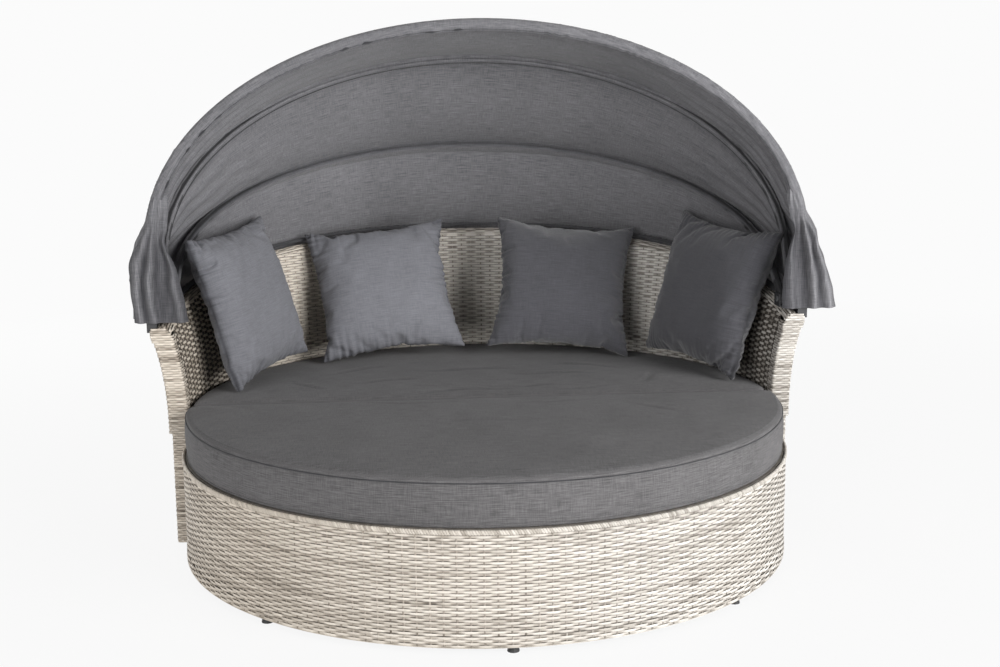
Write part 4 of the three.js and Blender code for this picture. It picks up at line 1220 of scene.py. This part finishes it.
def hoop_rib(hoop, column):
    """Points, normals and skirt shares of the cloth's line on a hoop, at columns counted from the right."""
    fold = np.minimum(column, CLOTH_COLUMNS - column)
    side = np.where(column <= CLOTH_COLUMNS / 2, 1.0, -1.0)
    step = np.maximum(fold - SKIRT_COLUMNS, 0) + SKIRT_STEPS
    share = np.where(side > 0, step / HOOP_STEPS, 1 - step / HOOP_STEPS)
    point = hoop.outer_line(share)
    down = np.maximum(0, 1 - fold / SKIRT_COLUMNS)
    hem = np.sqrt(SKIRT_RADIUS ** 2 - point[:, 1] ** 2)
    wider = hem - SKIRT_RADIUS - hoop.half_width + HOOP_HALF_WIDTH
    point[:, 2] += (SKIRT_BOTTOM - point[:, 2]) * down
    height = point[:, 2] - SKIRT_BOTTOM
    right, left = (np.interp(height, SKIRT_HEIGHTS, SKIRT_OUT[key]) for key in (1, -1))
    point[:, 0] += side * (np.where(side > 0, right, left) + wider * down ** SKIRT_CURVE)
    return point, hoop.outward(share), down


def rail_rib(column, drop):
    """The same for the cloth's line on the rail, some way below its top."""
    point, normal, down = hoop_rib(REAR, column)
    side = np.where(normal[:, 0] < 0, -1.0, 1.0)
    level = np.minimum(column, CLOTH_COLUMNS - column)
    above, _, _ = hoop_rib(REAR, np.maximum(level, SKIRT_COLUMNS))
    spread = np.arccos(np.minimum(1, np.abs(above[:, 0]) / HEM_RADIUS))
    lowest = np.arcsin((point[:, 1] + HEM_SPREAD) / HEM_RADIUS)
    angle = spread + (lowest - spread) * down
    out = np.stack([side * np.cos(angle), np.sin(angle), 0 * angle], -1)
    place = out * HEM_RADIUS
    place[:, 2] = rail_height(angle) - drop
    return place, out, down


def between(first, second, share):
    """A row of the cloth between two lines: sagging, or in a pleat where it hangs as a skirt."""
    (p, n, down), (q, m, _) = first, second
    span = np.linalg.norm(q - p, axis=1)
    along = (GAP / 2 + share * (span - GAP)) / span
    point = p + (q - p) * along[:, None]
    normal = unit(n + (m - n) * along[:, None])
    sag = -SAG * span * 4 * along * (1 - along) * (1 - down)
    pleat = PLEAT * down * (1 - np.cos(math.tau * along)) / 2
    return point + normal * (sag + pleat)[:, None], normal, along


SLEEVE_WIDTH = 30.0
SLEEVE_LOW = 20.0
# Where a pocket ends on a hoop's leg, its slack round the tube, and the cloth places' step across it
POCKET_LEG = 70.0
POCKET_SLACK = 1.6
POCKET_STEP = 0.006
HEM_STEP = 0.003
# How much painted shade a pocket has along its section, from its front edge round the hoop to its rear edge
MIDDLE_PAINTED_SHADES = [0.0, 0.0, 0.0, 0.05, 0.1, 0.1, 0.2, 0.6, 1.0, 0.9, 0.4, 0.2, 0.1, 0.1, 0.1, 0.1, 0.1]
REAR_PAINTED_SHADES = [0.55, 0.6, 0.7, 0.9, 1.0, 0.9, 0.6, 0.3, 0.1, 0.05, 0.0, 0.0, 0.0, 0.0, 0.05, 0.05, 0.1]


def pocket(name, hoop, before, after, body, seed, reach, crisp, painted_shade_steps):
    """A strip sewn to the inside of the canopy that holds a hoop, and runs down its legs as a sleeve.
    after gives the place of the next edge for shares of the hoop's length."""
    leg = POCKET_LEG / hoop.lengths[-1]
    share = np.linspace(leg, 1 - leg, 460)
    normal = hoop.outward(share)
    middle = hoop.at(share)
    point = hoop.outer_line(share)
    lengths = share * hoop.lengths[-1]
    opened = np.clip((np.minimum(share, 1 - share) * HOOP_STEPS - SKIRT_STEPS) / 1.2, 0, 1)
    back = unit(before.outer_line(share) - point)
    back = back - normal * np.einsum("ij,ij->i", back, normal)[:, None] * (1 - opened)[:, None]
    ahead = unit(after(share) - point)
    radius = HOOP_RADIUS + POCKET_SLACK
    gathers = ripple(lengths, seed, 26) * 0.5 + ripple(lengths, seed + 1, 11) * 0.35
    high = np.hypot(middle[:, 1] - PIVOT[1], middle[:, 2] - PIVOT[2]) / (HOOP_LEG + HOOP_RISE)
    spread = np.clip(high, 0.35, 1) * (0.3 + 0.7 * opened)
    start = point + back * (4 + 8 * spread)[:, None] - normal * 1.6
    end = point + ahead * (reach * spread + 2 * ripple(lengths, seed + 2, 120))[:, None] - normal * 1.8

    def around(degrees, distance):
        turn = math.radians(degrees)
        return middle + (normal * math.cos(turn) + hoop.across * math.sin(turn)) * distance

    tip = middle + (hoop.across * 0.75 - normal * 0.66) * radius
    rows = [start + (tip - start) * part for part in (0.0, 0.3, 0.6, 0.85)]
    rows += [around(degrees, (radius + 0.5 * gathers)[:, None]) for degrees in (118, 140, 165, 190, 212)]
    tip = around(SEAM_TURN, radius)
    for part in (0.12, 0.26, 0.4, 0.55, 0.7, 0.82, 0.92, 1.0):
        arch = math.sin(part * math.pi)
        pucker = gathers * crisp * arch ** 0.7 if part < 1 else 0 * gathers
        rows.append(tip + (end - tip) * part - normal * (pucker + 1.4 * arch)[:, None])
    section = np.stack(rows + [row + normal * POCKET_THICK for row in rows[::-1]], 1)
    # Painted shade from the table along the section, and more where the pocket hangs down the legs
    painted_shade = np.maximum(np.array(painted_shade_steps + painted_shade_steps[::-1])[None, :], 0.75 * (1 - opened)[:, None])
    cloth = strip_cloth(section, lengths, POCKET_STEP)
    piece = closed_sheet(name, section, CANOPY, body, "canopy_cloth", cloth, painted_shade)
    # A dark cord along the middle hoop's seam: stitching, and painted shadow in the fold beside it
    if crisp > 2:
        line = around(SEAM_TURN, radius + 0.6)[opened > 0.2]
        tube(f"{name}_seam", line, np.interp(line[:, 0], *SEAM_RADII), SEAM_THREAD_AND_SHADOW, body, "canopy_cloth")
    return piece


def rear_hem():
    """The gathered dark tape that holds the canopy's rear edge on the rail."""
    angle = np.linspace(0.16, math.pi - 0.16, 900)
    lengths = angle * 860
    gathers = ripple(lengths, 71, 24) + 0.6 * ripple(lengths, 72, 11)
    rows, outer = [], []
    for share in np.linspace(0, 1, 9):
        side = -HALF_RAIL + 8 + 16 * share ** 1.5 + gathers * 2.2 * math.sin(share * math.pi) - 1.0
        high = 0.5 + 6 * share + gathers * 0.9 * share
        rows.append(rail_point(side, high, angle))
        outer.append(rail_point(side + CLOTH_THICK, high + 0.5, angle))
    section = np.stack(rows + outer[::-1], 1)
    piece = closed_sheet("canopy_rear_hem", section, HEM, "sofa", "canopy_cloth",
                         strip_cloth(section, lengths, HEM_STEP))


# The folds of the curtain in front of each pivot: places across (half-width, forward) at heights
CURTAIN_HEIGHTS = (960.0, 915.0, 872.0, 825.0, 775.0, 728.0, 670.0, 617.0)
CURTAIN_TOP = [(846, 30, 865, 20), (843, 27, 862, 13), (840, 25, 859, 12), (837, 24, 852, 9),
               (834, 24, 845, 12), (831, 24, 838, 10), (828, 25, 831, 13), (825, 27, 823, 12),
               (822, 30, 815, 20)]
CURTAIN_OUTER = 879
CURTAIN_NECK = {-1: 7.4, 1: 5.9}
# A curtain follows the middle hoop below the first height and the front hoop above the second
CURTAIN_HOLD = 700.0
CURTAIN_FREE = 860.0
CURTAIN = {
    -1: [
        [(877, 20), (899, 18), (923, 16), (924, 14), (921, 12), (915, 10)],
        [(873, 12), (886, 4), (902, -4), (906, -8), (904, -9), (899, -8)],
        [(869, 10), (872, 5), (882, 2), (888, -2), (887, -4), (882, -4)],
        [(866, 9), (862, 2), (866, -6), (872, -11), (871, -12), (864, -10)],
        [(862, 10), (853, 9), (852, 8), (856, 6), (857, 0), (850, -4)],
        [(859, 12), (846, 15), (841, 16), (843, 15), (842, 10), (836, 2)],
        [(856, 13), (840, 15), (829, 14), (826, 8), (820, 0), (814, -6)],
        [(853, 14), (834, 12), (818, 6), (810, -2), (802, -6), (796, -8)],
        [(850, 16), (829, 15), (808, 12), (796, 8), (784, 6), (776, 5)],
    ],
    1: [
        [(879, 20), (905, 18), (922, 16), (938, 14), (955, 12), (966, 10)],
        [(876, 12), (894, 4), (908, -4), (922, -8), (936, -9), (944, -8)],
        [(873, 10), (884, 6), (895, 2), (905, -1), (914, -3), (920, -4)],
        [(869, 9), (874, 0), (882, -7), (890, -12), (896, -14), (900, -12)],
        [(866, 10), (864, 10), (869, 9), (873, 6), (878, 2), (882, -2)],
        [(863, 12), (856, 15), (856, 16), (858, 14), (862, 10), (866, 4)],
        [(859, 13), (848, 14), (844, 10), (844, 4), (846, -2), (850, -6)],
        [(856, 14), (846, 14), (836, 8), (830, 2), (830, -2), (833, -6)],
        [(852, 16), (844, 16), (830, 14), (818, 10), (814, 8), (814, 7)],
    ],
}


def smooth_rows(rows, count):
    """Catmull-Rom through rows of places, as count rows."""
    rows = np.asarray(rows, float)
    n = len(rows)
    result = []
    for t in np.linspace(0, n - 1, count):
        i = min(int(t), n - 2)
        f = t - i
        p0, p1, p2, p3 = rows[max(i - 1, 0)], rows[i], rows[i + 1], rows[min(i + 2, n - 1)]
        result.append(0.5 * (2 * p1 + (p2 - p0) * f + (2 * p0 - 5 * p1 + 4 * p2 - p3) * f ** 2
                             + (3 * p1 - p0 - 3 * p2 + p3) * f ** 3))
    return np.stack(result)


def curtain(side, label):
    """The cloth that hangs in folds in front of a pivot, from the gathered end of the front sleeve."""
    lines = []
    for number, (line, (a, b, c, d)) in enumerate(zip(CURTAIN[side], CURTAIN_TOP)):
        neck = (CURTAIN_OUTER - CURTAIN_NECK[side] * number, line[0][1])
        lines.append([(x, y, z) for (x, y), z in zip([(a, b), (c, d), neck] + line[1:], CURTAIN_HEIGHTS)])
    lines = np.array(lines, float)
    lines[:, :2, 2] += 7 * np.sin(np.arange(len(lines)) * 0.9 + side)[:, None]
    if side > 0:
        lines[:, :2, 0] += np.linspace(0, 9, len(lines))[:, None]
        lines[4:, 5:, 1] -= 3
    lines[1:-1:2, 3:, 1] -= 3
    lines[2:-1:2, 3:, 1] += 2
    across = smooth_rows(lines, 90)
    grid = smooth_rows(across.transpose(1, 0, 2), 60)
    grid[:, :, 1] += 1.3 * soft_noise(grid[:, :, 0] * 2, grid[:, :, 2] * 0.6, 60 + side, 60)
    grid[:, :, 0] += 1.5 * soft_noise(grid[:, :, 0] * 2, grid[:, :, 2], 64 + side, 80)
    grid[:, :, 0] *= side
    columns = grid.shape[1]
    normal = unit(np.cross(np.gradient(grid, axis=1), np.gradient(grid, axis=0)))
    normal *= np.where(normal[:, :, 1:2] > 0, 1, -1)
    both = np.concatenate([grid, (grid + normal * CURTAIN_THICK)[:, ::-1]], 1)
    cloth = both[:, :, [2, 0, 1]] / 1000
    cloth[:, :, 2] = 0
    # Painted shade: the curtain is darker inwards and lower down, and darker still in the valleys of its
    # folds
    window = 10
    padded = np.pad(grid[:, :, 1], ((0, 0), (window, window)), mode="edge")
    level = np.stack([padded[:, k:k + columns] for k in range(2 * window + 1)]).mean(0)
    outside, more = {1: (0.4, 0.6), -1: (0.55, 0.4)}[side]
    depth = (outside + more * np.linspace(0, 1, columns)) * np.clip((940 - grid[:, :, 2]) / 120, 0.2, 1)
    depth = np.clip(depth + (grid[:, :, 1] - level) * 0.07, 0, 1)
    piece = closed_sheet(f"canopy_{label}_curtain", both, CANOPY, None, "canopy_cloth", cloth,
                         np.concatenate([depth, depth[:, ::-1]], 1))
    low, high = to_row([[0, 0, CURTAIN_HOLD], [0, 0, CURTAIN_FREE]])
    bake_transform(piece, "middle_hoop", "front_hoop", tuple(low), tuple(high))


class Layers:
    """The rows of a canopy panel, from its sleeve's end to its far edge: points of both faces, with the
    share that each row follows its own hoop, cloth places and painted shade."""

    def __init__(self, lengths):
        self.lengths = lengths
        self.inner, self.outer, self.weights, self.cloth, self.painted_shade_rows = [], [], [], [], []

    def add(self, inner, outer, weight, across, painted_shade):
        ones = np.ones(len(inner))
        self.inner.append(inner)
        self.outer.append(outer)
        self.weights.append(weight * ones)
        self.cloth.append(np.stack([self.lengths, across * ones, 0 * ones], -1) / 1000)
        self.painted_shade_rows.append(np.clip(painted_shade, 0, 1) * ones)

    def both(self, rows, back=None):
        """Rows of one face and back along the other, with the columns first."""
        return np.stack(rows + (rows if back is None else back)[::-1], 1)

    def make(self, name, node, bodies):
        """The panel, blended between its bodies row by row."""
        # Painted shade on the outer face: a flatter version of the inner face's, though both are the same
        # cloth
        painted_shade_rows = self.both(self.painted_shade_rows, [0.2 + 0.4 * painted_shade for painted_shade in self.painted_shade_rows])
        piece = closed_sheet(name, self.both(self.inner, self.outer), CANOPY, None, "canopy_cloth",
                             self.both(self.cloth), painted_shade_rows)
        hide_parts(node)
        first, last = to_row([[0, 0, 0], [0, 900, 0]])
        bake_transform(piece, *bodies, tuple(last), tuple(first))
        layer = piece.data.attributes["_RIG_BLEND"]
        layer.data.foreach_set("value", self.both(self.weights).reshape(-1).astype(np.float32))
        return piece


def sleeve_rows(layers, hoop, rib, chord, seed, rows):
    """The cloth that is folded round the front hoop and stitched to itself; gives the stitches' line."""
    points, normals, down = rib
    lengths = layers.lengths
    middle = points - normals * CLOTH_LIFT
    wide = SLEEVE_WIDTH + 3 * ripple(lengths, seed + 3, 60)
    seam = points + chord * wide[:, None] - normals * 2.2
    tight = 1 - down[:, None]
    pucker = ripple(lengths, seed + 9, 24) * 5.5 + ripple(lengths, seed + 10, 11) * 3.0
    curl = middle - normals * (SLEEVE_LOW + 1.0 + 0.5 * pucker)[:, None] * tight + chord * 4
    for share in (0.0, 0.05, 0.1, 0.17, 0.26, 0.38, 0.52, 0.68, 0.84):
        fold = ripple(lengths + 50 * share, seed + 4, 30) + 0.7 * ripple(lengths - 30 * share, seed + 5, 14)
        arch = math.sin(share * math.pi)
        bulge = 3.0 * arch + 2.4 * fold * arch ** 0.5
        bulge = np.maximum(bulge, -1.0) if share > 0.6 else bulge
        point = seam + (curl - seam) * share - normals * bulge[:, None] * tight
        # Painted shade: the folded flap's rows get darker towards the curl
        layers.add(point + normals * CLOTH_THICK, point, 1, -60 + share * 24.0, 0.3 + 0.5 * share)
    for k in range(rows, 0, -1):
        turn = math.radians(168) * k / rows
        normal = normals * math.cos(turn) + hoop.across * math.sin(turn)
        drift = ripple(lengths + 7 * k, seed, 44) * 5.0 + ripple(lengths - 5 * k, seed + 1, 19) * 3.0
        drift = np.maximum(drift, -1.5 + 0.3 * drift)
        lift = CLOTH_LIFT + (1.0 + drift) * math.sin(min(turn * 1.35, math.pi)) ** 2
        lift = lift + (SLEEVE_LOW - CLOTH_LIFT) * max(0.0, -math.cos(turn))
        near = math.exp(-((math.degrees(turn) - 152) / 22) ** 2)
        point = middle + normal * (lift + 0.7 * pucker * near)[:, None]
        # Painted shade round the stitched fold, darker in the dashes, and painted light and shade on the
        # drifting wrinkles
        dash = np.clip(0.45 - pucker * 0.3, 0, 1)
        painted_shade = 0.2 + (0.35 + 0.5 * dash) * near - 0.07 * drift * (1 - near)
        layers.add(point, point + normal * CLOTH_THICK, 1, -k * 3.0, painted_shade)
        if k == round(rows * 0.84):
            stitch = point + normal * (CLOTH_THICK + 0.2)
    # The stitch cord is thicker in dark runs: stitching, and painted shadow in the puckers beside it
    runs = np.clip(ripple(lengths, seed + 12, 80) * 2.2 - 0.5, 0, 1)
    shown = down < 0.2
    return stitch[shown], (0.5 + 3.6 * runs * (0.6 + 0.4 * dash))[shown]


def cloth_sheet(name, hoop, rows, sleeve, row_at, bodies, node, seed, painted_shadow, folds):
    """One canopy panel: a sleeve round its hoop, then the span to the next hoop or the rail. row_at
    gives points, normals and the share of the way for a row. painted_shadow is the painted shade at the near
    edge with its fall, then at the far edge; folds are the height, reach and number of the folds near the
    pivots."""
    columns = np.linspace(0, CLOTH_COLUMNS, 271)
    rib = hoop_rib(hoop, columns)
    lengths = run_lengths(rib[0])
    layers = Layers(lengths)
    down = rib[2]
    from_end = np.minimum(columns, CLOTH_COLUMNS - columns)
    low_part = np.exp(-((from_end - 3.2) / folds[1]) ** 2) * (1 - down)
    if sleeve:
        chord = unit(row_at(columns, 0.1)[0] - rib[0])
        stitch, radii = sleeve_rows(layers, hoop, rib, chord, seed, sleeve)
    for row in range(rows + 1):
        point, normal, along = row_at(columns, row / rows)
        border = np.minimum(along, 1 - along)
        ends = np.clip(border * 12, 0, 1)
        seam = np.exp(-along * 14) + np.exp(-(1 - along) * 14)
        wave = soft_noise(point[:, 0], point[:, 2] + point[:, 1], seed, 380) * 3.5 * (1 - down)
        pucker = ripple(lengths + 40 * along, seed + 7, 45) + 0.6 * ripple(lengths, seed + 8, 18)
        pucker = pucker * 1.5 * seam
        limp = soft_noise(point[:, 0], point[:, 1] * 3, seed + 2, 90) * 2
        hang = down * (np.sin(along * 26 + seed) * 3.0 + limp)
        swing = np.sin(along * folds[2] + from_end * 0.5 + seed + ripple(lengths, seed + 6, 150))
        shift = (wave + hang + folds[0] * low_part * swing) * ends + pucker * np.clip(border * 30, 0, 1)
        point = point + normal * shift[:, None]
        # Painted shade: near the hoops, where the cloth hangs as a skirt, in fold valleys and in puckers
        painted_shading = painted_shadow[0] * np.exp(-along * painted_shadow[1]) + painted_shadow[2] * np.exp(-(1 - along) * painted_shadow[3])
        painted_shading = painted_shading + 0.5 * down + 0.55 * low_part * np.clip(-swing, 0, 1) ** 1.5 - 0.08 * pucker
        layers.add(point, point + normal * CLOTH_THICK, 1 - along, along * 400, painted_shading)
    piece = layers.make(name, node, bodies)
    if sleeve:
        tube("canopy_front_seam", stitch, radii, SEAM_THREAD_AND_SHADOW, "front_hoop", "canopy_cloth")
    return piece


def canopy():
    def span(first, second):
        return lambda column, share: between(hoop_rib(first, column), hoop_rib(second, column), share)

    def rear_row(column, share):
        if share <= HEM_SPLIT:
            hem = rail_rib(column, HEM_TOP)
            point, normal, along = between(hoop_rib(REAR, column), hem, share / HEM_SPLIT)
            return point, normal, along * HEM_SPLIT
        point, normal, _ = rail_rib(column, HEM_TOP + HEM_DROP * (share - HEM_SPLIT) / (1 - HEM_SPLIT))
        return point, normal, np.full(len(point), share)

    front = cloth_sheet("canopy_front_cloth", FRONT, 30, 19, span(FRONT, MIDDLE),
                        ("middle_hoop", "front_hoop"), "canopy_front_panel", 41,
                        (0.6, 20, 0.15, 12), (6.5, 6.5, 30))
    middle = cloth_sheet("canopy_middle_cloth", MIDDLE, 28, 0, span(MIDDLE, REAR),
                         ("rear_hoop", "middle_hoop"), "canopy_middle_panel", 42,
                         (0.7, 14, 0.5, 7), (4.0, 4.0, 26))
    rear = cloth_sheet("canopy_rear_cloth", REAR, 36, 0, rear_row, ("sofa", "rear_hoop"),
                       "canopy_rear_panel", 43, (0.2, 12, 0.3, 10), (3.0, 3.0, 22))

    def rail_line(share):
        fold = np.minimum(share, 1 - share) * HOOP_STEPS - SKIRT_STEPS + SKIRT_COLUMNS
        return rail_rib(np.where(share < 0.5, fold, CLOTH_COLUMNS - fold), HEM_TOP)[0]

    first = pocket("canopy_middle_pocket", MIDDLE, FRONT, REAR.outer_line, "middle_hoop", 61, 20.0, 2.6,
                   MIDDLE_PAINTED_SHADES)
    second = pocket("canopy_rear_pocket", REAR, MIDDLE, rail_line, "rear_hoop", 62, 38.0, 1.2, REAR_PAINTED_SHADES)
    rear_hem()
    for side, label in SIDES:
        curtain(side, label)


# ---------------------------------------------------------------- carried-over CAD pieces


def dress_nodes():
    """Gives every CAD node that stays in view its finish: the first word found in its name decides."""
    finishes = (("screw", ZINC), ("bolt", ZINC), ("nut", ZINC), ("washer", WHITE), ("_frame", COATED),
                ("hoop_", COATED), ("bracket_", COATED), ("foot_", BLACK), ("deck", DECK))
    for name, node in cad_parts.items():
        finish = next((finish for word, finish in finishes if word in name), None)
        if finish:
            node.data.materials.clear()
            node.data.materials.append(finish)


# ---------------------------------------------------------------- floor, light and camera


def link(name, data):
    """A new object in the scene."""
    thing = bpy.data.objects.new(name, data)
    bpy.context.scene.collection.objects.link(thing)
    return thing


def stage():
    """A pale floor and backdrop and three soft lights. Camera rays see the floor as glowing white, a
    little darker near the set, and all other rays as matte."""
    half = 30.0
    mesh = bpy.data.meshes.new("floor")
    corners = [(-half, -half, 0), (half, -half, 0), (half, half, 0), (-half, half, 0)]
    mesh.from_pydata(corners, [], [(0, 1, 2, 3)])
    m = Nodes(bpy.data.materials.new("studio_floor"))
    path = m.add("ShaderNodeLightPath").outputs
    seen = m.math("MAXIMUM", path["Is Camera Ray"], path["Is Glossy Ray"])
    seen = m.math("MAXIMUM", seen, path["Is Transmission Ray"])
    reach = m.add("ShaderNodeVectorMath", m.place(), operation="LENGTH").outputs["Value"]
    fade = m.feed(m.add("ShaderNodeMapRange"), Value=reach, From_Min=1.0, From_Max=4.5,
                  To_Min=0.93, To_Max=1.0)
    share = m.math("MULTIPLY", seen, fade.outputs["Result"])
    surface = m.add("ShaderNodeMixShader", share, m.add("ShaderNodeBsdfDiffuse", FLOOR_COLOUR),
                    m.add("ShaderNodeEmission", BACKDROP_COLOUR))
    m.add("ShaderNodeOutputMaterial", surface)
    mesh.materials.append(m.owner)
    link("floor", mesh)

    world = bpy.data.worlds.new("studio")
    bpy.context.scene.world = world
    m = Nodes(world)
    ambient = m.add("ShaderNodeBackground", (1, 1, 1), AMBIENT)
    backdrop = m.add("ShaderNodeBackground", BACKDROP_COLOUR)
    seen = m.add("ShaderNodeLightPath").outputs["Is Camera Ray"]
    shown = m.add("ShaderNodeMixShader", seen, ambient, backdrop)
    m.add("ShaderNodeOutputWorld", shown)

    for name, place, target, size, power in LIGHTS:
        lamp = bpy.data.lights.new(name, "AREA")
        lamp.shape = "SQUARE"
        lamp.size = size
        lamp.energy = power
        light = link(name, lamp)
        light.location = place
        light.rotation_euler = (Vector(target) - Vector(place)).to_track_quat("-Z", "Y").to_euler()


def camera():
    """The fitted camera of the photograph."""
    yaw, pitch, roll = (math.radians(angle) for angle in CAMERA_TURN)
    c, s = math.cos(yaw), math.sin(yaw)
    forward = Vector((s * math.cos(pitch), c * math.cos(pitch), -math.sin(pitch)))
    right = Vector((c, -s, 0))
    up = Vector((s * math.sin(pitch), c * math.sin(pitch), math.cos(pitch)))
    across = right * math.cos(roll) + up * math.sin(roll)
    high = up * math.cos(roll) - right * math.sin(roll)
    data = bpy.data.cameras.new("photo_camera")
    data.sensor_width = 36.0
    data.lens = 50.004
    view = link("photo_camera", data)
    rows = [(across[k], high[k], -forward[k], CAMERA_PLACE[k]) for k in range(3)]
    view.matrix_world = Matrix((*rows, (0, 0, 0, 1)))
    bpy.context.scene.camera = view


camera()
stage()
dress_nodes()
for pillow_name in PILLOWS:
    pillow(pillow_name)
footstool_weave()
base_weave()
back_skin("back_outer_strands", HALF_BACK, 1, SEAT_BACK_HEIGHT + GAP, "back_outer_weave", 32)
back_skin("back_inner_strands", -HALF_BACK, -1, DECK_HEIGHT + GAP, "back_inner_weave", 33)
rail_wrap()
arm_wraps()
cushion("seat_cushion_cover", SEAT_RADIUS, 1, "sofa", "seat_cushion", 51, SEAT_CREASES)
cushion("footstool_cushion_cover", FOOTSTOOL_CUSHION, -1, "footstool", "footstool_cushion", 52, STOOL_CREASES)
canopy()

bpy.context.scene.view_settings.view_transform = "Standard"
